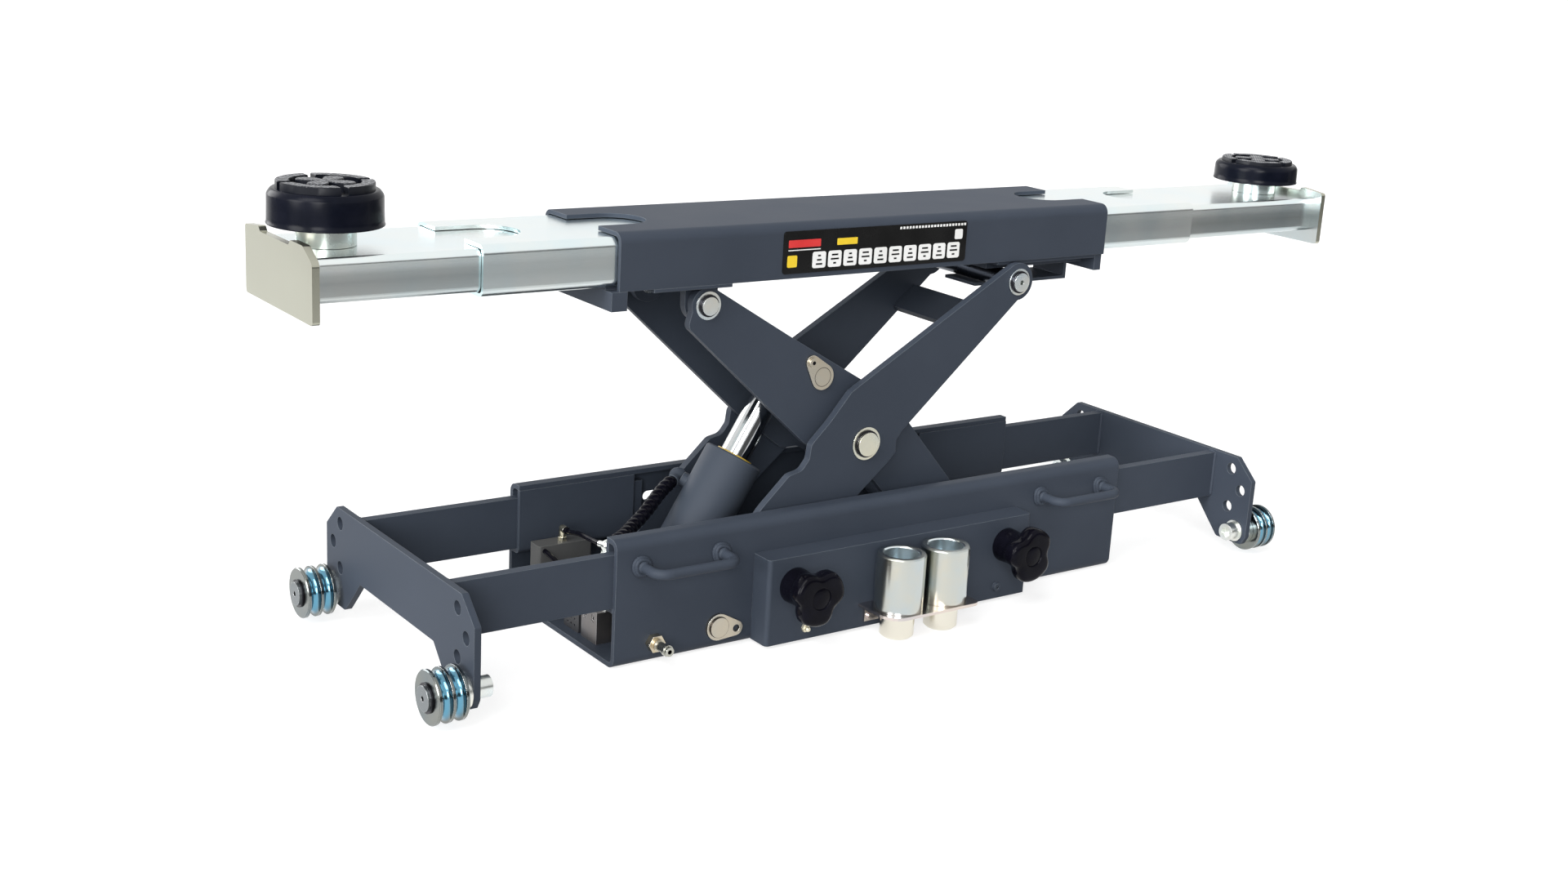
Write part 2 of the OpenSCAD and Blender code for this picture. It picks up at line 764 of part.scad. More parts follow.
// Fittings: brass elbow on the tank, riser and angle fitting at the hose, link to the motor
module pump_fittings() {
    stub_r = 4.2;
    air_end = air_route[len(air_route) - 1];
    color(BRASS) translate(elbow_at) {
        cylinder(r = 6, h = 5, $fn = 6);
        cylinder(r = 4.5, h = elbow_h);
        translate([0, 0, elbow_h]) sphere(r = 4.5);
        translate([0, 0, elbow_h]) rotate([90, 0, 0]) cylinder(r = 4.5, h = elbow_reach);
    }
    color(ZINC) {
        bar_z(union_at[0], union_at[1], 5, floor_z + block_h, union_at[2]);
        translate([union_at[0], union_at[1], union_at[2] - 14]) cylinder(r = 8, h = 7, $fn = 6);
        translate(union_at) sphere(r = 7.5);
        aim(union_at, hose_route[0]) cylinder(r = 6, h = union_reach - gap);
        aim(union_at, air_end) cylinder(r = stub_r, h = norm(air_end - union_at) - gap);
    }
    color(ZINC)
        bar_y(motor_x + 30, floor_z + 15, 5, block_y + block_w / 2, motor_y - motor_w / 2);
}

// Black air tubes: tank to the riser, and tank to the valve block
module air_tubes() {
    color(BLACK) {
        swept_tube(air_route, [for (i = [0 : 24]) air_tube_r], 1.6);
        swept_tube(vent_route, [for (i = [0 : 24]) air_tube_r], 1.6);
    }
}

// Air inlet: brass nut and stepped plug through the tray's front wall
module air_inlet() {
    color(BRASS) {
        bar_y(inlet_x, inlet_z, inlet_r, -wall_y, -wall_in + 8);
        translate([inlet_x, -wall_y, inlet_z]) rotate([90, 0, 0]) {
            cylinder(r = 11, h = 9, $fn = 6);
            cylinder(r = 7, h = 14);
        }
    }
    color(ZINC) translate([inlet_x, -wall_y - 14, inlet_z]) rotate([90, 0, 0])
        difference() {
            union() {
                cylinder(r = 5.5, h = 22);
                translate([0, 0, 14]) cylinder(r = 6.8, h = 4);
            }
            translate([0, 0, 4]) cylinder(r = 2.5, h = 20);
        }
}

// Ribbed hose from the riser's fitting to the barrel's elbow
module hydraulic_hose() {
    bore_r = 5;
    crest = hose_d / 2;
    // Four stations for each rib: valley, flank and two on the crest
    n = 4 * rib_count;
    radii = [for (i = [0 : n])
        let (f = i / n)
        f < 0.1 || f > 0.9 ? crest - rib_depth : (i % 4 < 1 ? crest - rib_depth : crest)];
    color(BLACK) swept_tube(hose_route, radii, bore_r);
}

// End plate of a carriage with the arm bars that slide in the tray's guides
module carriage(side) {
    crown_y = roller_y - 10.6;
    tip_y = roller_y + 19.8;
    foot_z = roller_z - 17.5;
    web_z = arm_bar_z - 8.5;
    outline = [
        [0, plate_top], [crown_y, plate_top, 3], [tip_y, plate_top - 28, 3],
        [tip_y, foot_z + 12, 6], [roller_y + 13, foot_z, 4], [roller_y - 33, foot_z, 6],
        [roller_y - 55, roller_z + 5.5, 4], [arm_bar_y0 - 12.3, web_z, 4], [0, web_z]
    ];
    half = concat(
        [[0, plate_top]],
        [for (i = [1 : 7]) each corner(outline[i - 1], outline[i], outline[i + 1])],
        [[0, web_z]]
    );
    holes = [
        [roller_y - 19.5, plate_top - 18.3], [roller_y + 1, plate_top - 45.4],
        [roller_y - 19, plate_top - 73]
    ];
    color(PAINT) on_side(side) {
        difference() {
            along_x(plate_x, plate_x1) {
                polygon(half);
                mirror([1, 0]) polygon(half);
            }
            both_sides() {
                for (h = holes)
                    bar_x(h[0], h[1], spare_hole_r, plate_x - over, plate_x1 + over);
                bar_x(roller_y, roller_z, axle_bolt_r + 0.1, plate_x - over, plate_x1 + over);
            }
        }
        translate([front_arm_x, -arm_bar_y0 - arm_bar_t, arm_bar_z])
            cube([plate_x - front_arm_x, arm_bar_t, arm_bar_h]);
        translate([rear_arm_x, arm_bar_y0, arm_bar_z])
            cube([plate_x - rear_arm_x, arm_bar_t, arm_bar_h]);
    }
}

module left_carriage() { carriage(-1); }
module right_carriage() { carriage(1); }

// Axles of one carriage: stub, shoulder, clip, and the bolt with its washer
module axles(side) {
    washer_t = 3;
    head_r = 12;
    head_h = 16;
    clip_x = plate_x1 + shoulder_t + roller_w + 2 * gap;
    color(ZINC) on_side(side) both_sides() {
        difference() {
            bar_x(roller_y, roller_z, axle_r, plate_x1, axle_x1);
            bar_x(roller_y, roller_z, 3, axle_x1 - 5, axle_x1 + over);
        }
        bar_x(roller_y, roller_z, axle_r + 6, plate_x1, plate_x1 + shoulder_t);
        bar_x(roller_y, roller_z, axle_r + 2.6, clip_x, clip_x + 1.7);
        bar_x(roller_y, roller_z, axle_bolt_r, plate_x - washer_t, plate_x1 + over);
        bar_x(roller_y, roller_z, 15, plate_x - washer_t, plate_x);
        translate([plate_x - washer_t, roller_y, roller_z]) rotate([0, -90, 0]) difference() {
            cylinder(r = head_r, h = head_h);
            translate([0, 0, head_h]) hex_socket(14, 8);
        }
    }
}

module left_axles() { axles(-1); }
module right_axles() { axles(1); }

// Steel roller with two flanges, a ridge and two round grooves
module roller(side, row) {
    groove_w = (roller_w - 2 * flange_w - ridge_w) / 2;
    edge = 1;
    bore_r = axle_r + fit;
    x0 = plate_x1 + shoulder_t + gap;
    color(ZINC) on_side(side) translate([x0, row * roller_y, roller_z]) rotate([0, 90, 0])
        rotate_extrude() difference() {
            polygon([
                [bore_r, 0], [roller_r - edge, 0], [roller_r, edge], [roller_r, roller_w - edge],
                [roller_r - edge, roller_w], [bore_r, roller_w]
            ]);
            for (x = [flange_w, flange_w + groove_w + ridge_w])
                translate([0, x]) {
                    translate([groove_r + groove_w / 2, 0]) square([roller_r, groove_w]);
                    translate([groove_r + groove_w / 2, groove_w / 2]) circle(r = groove_w / 2);
                }
        }
}

module left_front_roller() { roller(-1, -1); }
module left_rear_roller() { roller(-1, 1); }
module right_front_roller() { roller(1, -1); }
module right_rear_roller() { roller(1, 1); }

// Places an arm's own plane, x along the arm and y across it, at a pivot
module arm_frame(pivot, angle) {
    translate([pivot[0], 0, pivot[1]]) rotate([0, -angle, 0]) children();
}

// Outline of an outer arm from its lower pivot
module outer_arm_2d() {
    m = mid_s;
    outline = [
        [0, -outer_low_r, 0], [m - 144, -48, 60], [m + 11, -46, 20], [m + 27, -44, 6],
        [m + 36, -32, 10], [m + 50, -28.3, 10], [arm_len, -outer_top_r + 5, 0],
        [arm_len, outer_top_r, 0], [m + 22, 69, 14], [m - 21, 61, 60], [m - 59, 57.5, 12],
        [m - 72, 45, 8], [m - 88, 41, 14], [m - 104, 49.5, 12], [m - 154, 46, 60],
        [0, outer_low_r, 0]
    ];
    circle(r = outer_low_r);
    translate([arm_len, 0]) circle(r = outer_top_r);
    polygon(rounded(outline));
}

// Outline of an inner arm from its upper pivot
module inner_arm_2d() {
    m = mid_s;
    outline = [
        [-4, -34.7, 10], [m - 68, -47.1, 60], [m + 20, -44, 12], [m + 38, -29, 12],
        [m + 58, -24, 20], [m + 88, -29, 20], [m + 140, -44, 30], [arm_len, -inner_end_r, 0],
        [arm_len, inner_end_r, 0], [m + 58, 60.2, 60], [m, 69, 30], [m - 51, 59.1, 60],
        [m - 168, 39.7, 60], [0, inner_end_r, 0], [-inner_end_r + 1, 2, 0]
    ];
    circle(r = inner_end_r);
    translate([arm_len, 0]) circle(r = inner_end_r);
    polygon(rounded(outline));
}

module outer_arm_plate() {
    difference() {
        plate_y(outer_y0, outer_arm_y) outer_arm_2d();
        bar_y(0, 0, pivot_pin_r + fit, outer_y0 - over, outer_arm_y + over);
        bar_y(mid_s, 0, centre_pin_r + fit, outer_y0 - over, outer_arm_y + over);
        bar_y(arm_len, 0, slide_shaft_r + fit, outer_y0 - over, outer_arm_y + over);
    }
}

module outer_arm_front() {
    color(PAINT) arm_frame([pivot_x, pivot_z], arm_angle) mirror([0, 1, 0]) outer_arm_plate();
}

module outer_arm_rear() {
    color(PAINT) arm_frame([pivot_x, pivot_z], arm_angle) outer_arm_plate();
}

// Plate welded between the outer arms
module outer_spreader() {
    spreader_s = 86;
    spreader_len = 43;
    spreader_n = -19;
    spreader_t = 8;
    color(PAINT) arm_frame([pivot_x, pivot_z], arm_angle)
        translate([arm_len - spreader_s, -outer_y0, spreader_n])
            cube([spreader_len, 2 * outer_y0, spreader_t]);
}

// Washer and retaining ring at an end of a pin, outside face y
module pin_end(x, z, r, washer_r, y) {
    washer_t = 2;
    clip_t = 1.5;
    clip_y = y + washer_t + 2 * gap;
    clip_mouth = 5;
    ring_y(x, z, r + fit, washer_r, y + gap, y + gap + washer_t);
    difference() {
        ring_y(x, z, r - 0.5, r + 2.2, clip_y, clip_y + clip_t);
        translate([x, clip_y - over, z - clip_mouth / 2])
            cube([2 * r, clip_t + 2 * over, clip_mouth]);
    }
}

// Shaft at the top of the outer arms, which slides under the beam
module upper_slide_shaft() {
    color(ZINC) {
        difference() {
            bar_y(B2[0], B2[1], slide_shaft_r, -pin_end_y, pin_end_y);
            both_sides() bar_y(B2[0], B2[1], 3, pin_end_y - 8, pin_end_y + over);
        }
        both_sides() pin_end(B2[0], B2[1], slide_shaft_r, slide_shaft_r + 5, outer_arm_y);
    }
}

// Centre pin of the scissor with its outer and inner washers
module centre_pin() {
    thrust_r = 24;
    color(ZINC) {
        bar_y(C[0], C[1], centre_pin_r, -pin_end_y, pin_end_y);
        both_sides() {
            pin_end(C[0], C[1], centre_pin_r, 20.75, outer_arm_y);
            ring_y(C[0], C[1], centre_pin_r + fit, thrust_r, inner_y1 + gap, outer_y0 - gap);
        }
    }
}

module inner_arm_plate() {
    difference() {
        plate_y(inner_y0, inner_y1) inner_arm_2d();
        bar_y(0, 0, upper_pin_r + fit, inner_y0 - over, inner_y1 + over);
        bar_y(mid_s, 0, centre_pin_r + fit, inner_y0 - over, inner_y1 + over);
        bar_y(arm_len, 0, slide_shaft_r + fit, inner_y0 - over, inner_y1 + over);
        bar_y(rod_pin_s, rod_pin_n, rod_pin_r + fit, inner_y0 - over, inner_y1 + over);
    }
}

module inner_arm_front() {
    color(PAINT) arm_frame(A1, -arm_angle) mirror([0, 1, 0]) inner_arm_plate();
}

module inner_arm_rear() {
    color(PAINT) arm_frame(A1, -arm_angle) inner_arm_plate();
}

// Round bar welded between the inner arms near their lower end
module inner_spreader() {
    spreader_r = 13;
    spreader_s = 111;
    color(PAINT) arm_frame(A1, -arm_angle)
        bar_y(arm_len - spreader_s, 0, spreader_r, -inner_y0, inner_y0);
}

// Pins from the bracket's ears to the inner arms, with their washers and clips
module upper_pivot_pins() {
    pin_y0 = ear_y0 - 2;
    pin_y1 = inner_y1 + 6.8;
    color(ZINC) both_sides() {
        bar_y(A1[0], A1[1], upper_pin_r, pin_y0, pin_y1);
        ring_y(A1[0], A1[1], upper_pin_r + fit, 16.5, ear_y1 + gap, inner_y0 - gap);
        pin_end(A1[0], A1[1], upper_pin_r, 16.5, inner_y1);
    }
}

// Pin through the rod's cross head, with a screwed keeper on each arm
module rod_pin() {
    keeper_r = 16;
    keeper_end_r = 9;
    keeper_len = 25;
    keeper_t = 3;
    keeper_tilt = 130;
    screw_h = 2.8;
    color(ZINC) {
        bar_y(rod_at[0], rod_at[1], rod_pin_r, -inner_y1, inner_y1);
        both_sides() translate([rod_at[0], 0, rod_at[1]]) rotate([0, -keeper_tilt, 0]) {
            plate_y(inner_y1, inner_y1 + keeper_t) drop_2d(keeper_r, keeper_end_r, keeper_len);
            bar_y(keeper_len, 0, 6, inner_y1 + keeper_t, inner_y1 + keeper_t + screw_h);
        }
    }
}

// Shaft at the foot of the inner arms, with collars and clips for its rollers
module lower_slide_shaft() {
    roller_end = slide_roller_y0 + slide_roller_w;
    color(ZINC) {
        bar_y(A2[0], A2[1], slide_shaft_r, -roller_end - 2.2, roller_end + 2.2);
        both_sides() {
            ring_y(A2[0], A2[1], slide_shaft_r + fit, slide_shaft_r + 5, inner_y1 + gap,
                slide_roller_y0 - gap);
            ring_y(A2[0], A2[1], slide_shaft_r - 0.5, slide_shaft_r + 2.2,
                roller_end + gap, roller_end + gap + 1.3);
        }
    }
}

module slide_roller(row) {
    color(STEEL) translate([A2[0], row * (slide_roller_y0 + slide_roller_w / 2), A2[1]])
        rotate([90, 0, 0]) rotate_extrude() polygon([
            [slide_shaft_r + fit, -slide_roller_w / 2],
            [slide_roller_r - 1, -slide_roller_w / 2],
            [slide_roller_r, -slide_roller_w / 2 + 1],
            [slide_roller_r, slide_roller_w / 2 - 1],
            [slide_roller_r - 1, slide_roller_w / 2],
            [slide_shaft_r + fit, slide_roller_w / 2]
        ]);
}

module slide_roller_front() { slide_roller(-1); }
module slide_roller_rear() { slide_roller(1); }

// Notch with a round end cut from above; its mouth is at x and it reaches inwards
module notch(x, depth, z0, z1, inwards) {
    c = x + inwards * (depth - notch_r);
    translate([0, 0, z0]) linear_extrude(z1 - z0) {
        translate([c, 0]) circle(r = notch_r);
        translate([min(c, x - inwards * over), -notch_r])
            square([abs(c - x + inwards * over), 2 * notch_r]);
    }
}

// Main beam: a channel open below, notched at both ends of its top
module main_beam() {
    color(PAINT) difference() {
        along_x(beam_left, beam_right) translate([0, beam_z]) difference() {
            round_rect(beam_w, 2 * beam_h, beam_bend);
            round_rect(beam_w - 2 * beam_t, 2 * (beam_h - beam_t), beam_bend - beam_t);
            translate([-beam_w, -2 * beam_h]) square([2 * beam_w, 2 * beam_h]);
        }
        notch(beam_left, beam_notch, beam_top - beam_t - over, beam_top + over, 1);
        notch(beam_right, beam_notch, beam_top - beam_t - over, beam_top + over, -1);
    }
}

// Bars under the beam's ends, with the wear strips that the middle tubes slide on
module beam_cross_bars() {
    bar_h = 21.6;
    left_bar_w = 20;
    left_bar_out = 9.4;
    strip_half = tube1_y - tube_bend;
    strip_inset = 1;
    left_x = beam_left - left_bar_out;
    right_x = beam_right - right_bar_w;
    // Half width of each bar; the right one fits between the outer arms
    left_half = beam_w / 2;
    right_half = outer_y0 - 0.7;
    for (b = [[left_x, left_bar_w, left_half], [right_x, right_bar_w, right_half]]) {
        color(PAINT) translate([b[0], -b[2], beam_z - bar_h]) cube([b[1], 2 * b[2], bar_h]);
        color(BLACK) translate([b[0] + strip_inset, -strip_half, beam_z])
            cube([b[1] - 2 * strip_inset, 2 * strip_half, strip_top]);
    }
}

// Plate across the beam's open side with the two ears of the upper pivots
module pivot_brackets() {
    plate_half = 52;
    bracket_t = 4;
    ear_r = 22;
    color(PAINT) {
        translate([A1[0] - plate_half - 26, -beam_w / 2, beam_z - bracket_t])
            cube([2 * plate_half, beam_w, bracket_t]);
        both_sides() difference() {
            plate_y(ear_y0, ear_y1) {
                translate([A1[0], A1[1]]) circle(r = ear_r);
                translate([A1[0] - ear_r, A1[1]]) square([2 * ear_r, beam_drop - bracket_t]);
            }
            bar_y(A1[0], A1[1], upper_pin_r + fit, ear_y0 - over, ear_y1 + over);
        }
    }
}

// Track of the upper slide shaft: base plate, two strips above the shaft and a hook below it
module shaft_track() {
    base_t = 4.6;
    base_half = outer_y0 - 0.7;
    strip_y0 = 35;
    strip_y1 = 60;
    hook_half = 30;
    hook_t = 4;
    hook_gap = 0.7;
    track_x0 = B2[0] - 28;
    track_x1 = beam_right - right_bar_w;
    strip_z = B2[1] + slide_shaft_r + gap;
    hook_z = B2[1] - slide_shaft_r - hook_gap;
    color(PAINT) {
        translate([track_x0, -base_half, beam_z - base_t])
            cube([track_x1 - track_x0, 2 * base_half, base_t]);
        both_sides() translate([track_x0, strip_y0, strip_z])
            cube([track_x1 - track_x0 - hook_t, strip_y1 - strip_y0, beam_z - base_t - strip_z]);
        translate([track_x0 + 10, -hook_half, hook_z - hook_t])
            cube([track_x1 - track_x0 - 10, 2 * hook_half, hook_t]);
        translate([track_x1 - hook_t, -hook_half, hook_z - hook_t])
            cube([hook_t, 2 * hook_half, beam_z - base_t - hook_z + hook_t]);
    }
}

// Thin plate on the front of the main beam
module label_plate() {
    label_x0 = -157;
    label_len = 277;
    label_z = 6;
    label_h = 50;
    label_t = 1;
    color(BLACK) translate([label_x0 + label_len / 2, 0, beam_z + label_z + label_h / 2])
        plate_y(-beam_w / 2 - label_t, -beam_w / 2) round_rect(label_len, label_h, 4);
}

// Closed tube section: half width y, from z0 to z1, corner radius r
module tube_section(y, z0, z1, r) {
    translate([0, (z0 + z1) / 2]) difference() {
        round_rect(2 * y, z1 - z0, r);
        round_rect(2 * (y - tube_t), z1 - z0 - 2 * tube_t, r - tube_t);
    }
}

// Middle tube from its outer end x towards the beam's centre
module middle_tube(x, inwards) {
    color(ZINC) difference() {
        along_x(min(x, x + inwards * tube_len), max(x, x + inwards * tube_len))
            tube_section(tube1_y, tube1_z0, tube1_z1, tube_bend);
        notch(x, tube_notch, tube1_z1 - tube_t - over, tube1_z1 + over, inwards);
    }
}

module left_middle_tube() { middle_tube(left_end_1, 1); }
module right_middle_tube() { middle_tube(right_end_1, -1); }

// Inner tube with its end plate and the socket of its pad. Both plates are one part, turned
// half round, so the cut corner is in front on the left and behind on the right
module inner_tube(x, inwards) {
    socket_len = 30;
    socket_wall = 4;
    bend = tube_bend - tube_t + 1.5;
    plate_low = 9.3;
    plate_high = 2.3;
    recess_far = 52;
    recess_near = -34;
    recess_h = 5.5;
    ramp = 5;
    corner_w = 24;
    corner_h = 14;
    far_drop = 4;
    z0 = beam_z - plate_low;
    z1 = beam_top + plate_high;
    h = end_plate_w / 2;
    outline = [
        [-h, z0, 4], [h, z0, 4], [h, z1 - far_drop, 4],
        [recess_far, z1, 3], [recess_far - ramp, z1 - recess_h, 3],
        [recess_near + ramp, z1 - recess_h, 3], [recess_near, z1, 3],
        [corner_w - h, z1, 8], [-h, z1 - corner_h, 8]
    ];
    pad_x = x + inwards * pad_inset;
    color(ZINC) difference() {
        union() {
            along_x(min(x, x + inwards * tube_len), max(x, x + inwards * tube_len))
                tube_section(tube2_y, tube2_z0, tube2_z1, bend);
            bar_z(pad_x, 0, socket_r + socket_wall, tube2_z1 - socket_len, tube2_z1 - tube_t / 2);
            along_x(min(x, x - inwards * end_plate_t), max(x, x - inwards * end_plate_t))
                scale([inwards, 1]) polygon(rounded(outline));
        }
        bar_z(pad_x, 0, socket_r, tube2_z1 - socket_len - over, tube2_z1 + over);
    }
}

module left_inner_tube() { inner_tube(left_end_2, 1); }
module right_inner_tube() { inner_tube(right_end_2, -1); }

// Stem of a pad: spigot, collar and the post that the rubber turns on
module pad_stem(x, collar) {
    spigot_len = 38;
    edge = 1.5;
    z = tube2_z1 + gap;
    color(ZINC) translate([x, 0, z]) rotate_extrude() polygon([
        [0, -spigot_len], [spigot_r - 2, -spigot_len], [spigot_r, 2 - spigot_len], [spigot_r, 0],
        [collar_r, 0], [collar_r, collar - edge], [collar_r - edge, collar],
        [post_r, collar], [post_r, collar + post_h], [0, collar + post_h]
    ]);
}

module left_pad_stem() { pad_stem(left_pad_x, left_collar_h); }
module right_pad_stem() { pad_stem(right_pad_x, right_collar_h); }

// Rubber pad with a tread of four quadrants; tread_h is the tread's height
module pad_rubber(x, z, pad_h, tread_h) {
    bead = 1.5;
    shoulder = 7;
    tread_z = pad_h - tread_h;
    side_h = tread_z - 3;
    slit_w = 7;
    slit_h = tread_h - 1;
    ring_r = 34;
    ring_w = 4;
    color(BLACK) translate([x, 0, z]) difference() {
        rotate_extrude() polygon([
            [post_r + fit, 0], [pad_r - 2, 0], [pad_r, bead], [pad_r, side_h],
            [pad_r - shoulder, tread_z], [pad_r - shoulder - 1.5, pad_h - 1.5],
            [pad_r - shoulder - 3, pad_h], [0, pad_h], [0, post_h + gap],
            [post_r + fit, post_h + gap]
        ]);
        for (a = [0, 90])
            rotate([0, 0, a]) translate([-pad_r, -slit_w / 2, pad_h - slit_h])
                cube([2 * pad_r, slit_w, slit_h + over]);
        translate([0, 0, pad_h - slit_h]) rotate_extrude()
            translate([ring_r - ring_w / 2, 0]) square([ring_w, slit_h + over]);
    }
}

module left_pad_rubber() { pad_rubber(left_pad_x, left_pad_z, left_pad_h, 11); }
module right_pad_rubber() { pad_rubber(right_pad_x, right_pad_z, right_pad_h, 6.5); }

// Cylinder's own frame: Z from the fixed pivot to the rod pin
module cylinder_frame() {
    translate([pivot_x, 0, pivot_z]) rotate([0, 90 - cyl_angle, 0]) children();
}

// Barrel with its eye, its gland and the elbow that the hose screws onto
module cylinder_barrel() {
    edge = 2;
    hose_end = hose_route[len(hose_route) - 1];
    color("#4a4f5a") {
        cylinder_frame() difference() {
            union() {
                bar_y(0, 0, eye_r, -eye_half, eye_half);
                translate([-eye_r + 1.5, -eye_half + 4, 0])
                    cube([2 * eye_r - 3, 2 * eye_half - 8, bore_start]);
                translate([0, 0, barrel_start]) rotate_extrude() polygon([
                    [0, 0], [barrel_r - 3, 0], [barrel_r, 3],
                    [barrel_r, barrel_top - barrel_start - edge],
                    [barrel_r - edge, barrel_top - barrel_start], [0, barrel_top - barrel_start]
                ]);
            }
            bar_y(0, 0, pivot_pin_r + fit, -eye_half - over, eye_half + over);
            bar_z(0, 0, barrel_bore_r, bore_start, barrel_top - gland_len);
            bar_z(0, 0, rod_r + fit, barrel_top - gland_len - over, barrel_top + over);
        }
        cylinder_frame() translate([0, 0, port_d]) rotate([0, 0, port_angle])
            bar_x(0, 0, 9, barrel_r - 2, port_reach);
        translate(port_at) sphere(r = 11);
        aim(port_at, hose_end) cylinder(r = 7.5, h = norm(hose_end - port_at) - gap);
    }
}

// Wiper ring on the barrel's rim
module rod_wiper() {
    color("#c9a227") cylinder_frame() difference() {
        bar_z(0, 0, rod_r + 4.5, barrel_top, barrel_top + 2.2);
        bar_z(0, 0, rod_r + fit, barrel_top - over, barrel_top + 2.2 + over);
    }
}

// Rod with a cross head whose slot leaves the rod pin play across the rod
module piston_rod() {
    head_half = rod_head_w / 2;
    color(ZINC) cylinder_frame() difference() {
        union() {
            bar_z(0, 0, rod_r, piston_d - piston_h / 2, cyl_len);
            bar_y(0, cyl_len, rod_head_r, -head_half, head_half);
        }
        translate([0, 0, cyl_len]) plate_y(-head_half - over, head_half + over)
            slot_2d(2 * (rod_pin_r + slot_side), rod_pin_r + slot_end);
    }
}

module piston() {
    color(STEEL) cylinder_frame() translate([0, 0, piston_d]) difference() {
        bar_z(0, 0, barrel_bore_r - fit, -piston_h / 2, piston_h / 2);
        bar_z(0, 0, rod_r + fit, -piston_h / 2 - over, piston_h / 2 + over);
    }
}

// Adaptor: a socket above and a spigot below, standing in the shelf
module adaptor(x) {
    z = shelf_z + shelf_t + gap;
    spigot_len = z - 0.5;
    bore_depth = 46;
    edge = 1.5;
    color(ZINC) translate([x, adaptor_y, z]) rotate_extrude() polygon([
        [0, -spigot_len], [spigot_r - 3, -spigot_len], [spigot_r, 3 - spigot_len], [spigot_r, 0],
        [adaptor_r, 0], [adaptor_r, adaptor_h - edge], [adaptor_r - edge, adaptor_h],
        [socket_r + edge, adaptor_h], [socket_r, adaptor_h - edge],
        [socket_r, adaptor_h - bore_depth], [0, adaptor_h - bore_depth]
    ]);
}

module left_adaptor() { adaptor(adaptor_mid_x - adaptor_pitch / 2); }
module right_adaptor() { adaptor(adaptor_mid_x + adaptor_pitch / 2); }

// Three-lobed knob with its hub and screw; scallops lists the angles of its hollows
module knob(x, scallops) {
    hub_gap = 0.2;
    hub_len = 33;
    scallop_r = 24;
    scallop_reach = knob_r + 15;
    cap_r = 13;
    tip_y = shoe_end_y - shoe_len + shoe_socket - gap;
    head_y = box_front_y - hub_gap - hub_len;
    color(BLACK) translate([x, 0, knob_z]) {
        bar_y(0, 0, hub_r, head_y, box_front_y - hub_gap);
        difference() {
            plate_y(head_y - knob_head_t, head_y) difference() {
                circle(r = knob_r);
                for (a = scallops)
                    translate(scallop_reach * [cos(a), sin(a)]) circle(r = scallop_r);
            }
            bar_y(0, 0, cap_r, head_y - knob_head_t - over, head_y - knob_head_t + 1.5);
        }
    }
    color(ZINC) bar_y(x, knob_z, screw_r, box_front_y - hub_gap - over, tip_y);
}

module left_knob() { knob(-knob_x, [90, -35, 200]); }
module right_knob() { knob(knob_x, [120, 0, 216]); }

// Thrust shoe that the screw presses against the arm bar
module shoe(x) {
    color(STEEL) difference() {
        bar_y(x, knob_z, shoe_r, shoe_end_y - shoe_len, shoe_end_y);
        bar_y(x, knob_z, screw_r + fit, shoe_end_y - shoe_len - over,
            shoe_end_y - shoe_len + shoe_socket);
    }
}

module left_shoe() { shoe(-knob_x); }
module right_shoe() { shoe(knob_x); }

base_tray();
arm_guides();
knob_box();
box_fasteners();
carry_handles();
lower_pivot_pin();
lower_pivot_spacers();
adaptor_bracket();
pump_reservoir();
air_motor();
valve_block();
pump_fittings();
air_tubes();
air_inlet();
hydraulic_hose();
left_carriage();
right_carriage();
left_axles();
right_axles();
left_front_roller();
left_rear_roller();
right_front_roller();
right_rear_roller();
outer_arm_front();
outer_arm_rear();
outer_spreader();
upper_slide_shaft();
centre_pin();
inner_arm_front();
inner_arm_rear();
inner_spreader();
upper_pivot_pins();
rod_pin();
lower_slide_shaft();
slide_roller_front();
slide_roller_rear();
main_beam();
beam_cross_bars();
pivot_brackets();
shaft_track();
label_plate();
left_middle_tube();
left_inner_tube();
right_middle_tube();
right_inner_tube();
left_pad_stem();
left_pad_rubber();
right_pad_stem();
right_pad_rubber();
cylinder_barrel();
rod_wiper();
piston_rod();
piston();
left_adaptor();
right_adaptor();
left_knob();
right_knob();
left_shoe();
right_shoe();
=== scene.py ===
import math
import bpy
import bmesh
from mathutils import Matrix, Vector


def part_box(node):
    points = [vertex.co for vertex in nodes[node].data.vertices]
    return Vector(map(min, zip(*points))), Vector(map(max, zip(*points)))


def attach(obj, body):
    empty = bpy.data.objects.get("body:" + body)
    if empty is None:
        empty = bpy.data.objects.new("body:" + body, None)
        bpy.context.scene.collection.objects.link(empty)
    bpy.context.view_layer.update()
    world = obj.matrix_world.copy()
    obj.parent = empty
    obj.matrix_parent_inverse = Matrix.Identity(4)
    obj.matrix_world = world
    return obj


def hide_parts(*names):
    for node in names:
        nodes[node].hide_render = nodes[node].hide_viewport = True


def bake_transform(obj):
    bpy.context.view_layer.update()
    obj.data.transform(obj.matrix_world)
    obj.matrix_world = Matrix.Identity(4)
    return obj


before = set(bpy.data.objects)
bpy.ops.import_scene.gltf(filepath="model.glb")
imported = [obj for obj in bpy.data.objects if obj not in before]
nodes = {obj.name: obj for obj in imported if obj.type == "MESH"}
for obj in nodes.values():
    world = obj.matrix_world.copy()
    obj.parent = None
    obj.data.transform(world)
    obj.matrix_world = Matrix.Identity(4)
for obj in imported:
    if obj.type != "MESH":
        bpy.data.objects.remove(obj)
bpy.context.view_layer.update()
scene = bpy.context.scene
mm = 0.001
axisX, axisY, axisZ = (1, 0, 0), (0, 1, 0), (0, 0, 1)


def box(name):  # low corner, high corner and middle of a CAD node
    lo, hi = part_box(name)
    return lo, hi, (lo + hi) / 2


# camera at the photograph's viewing angle

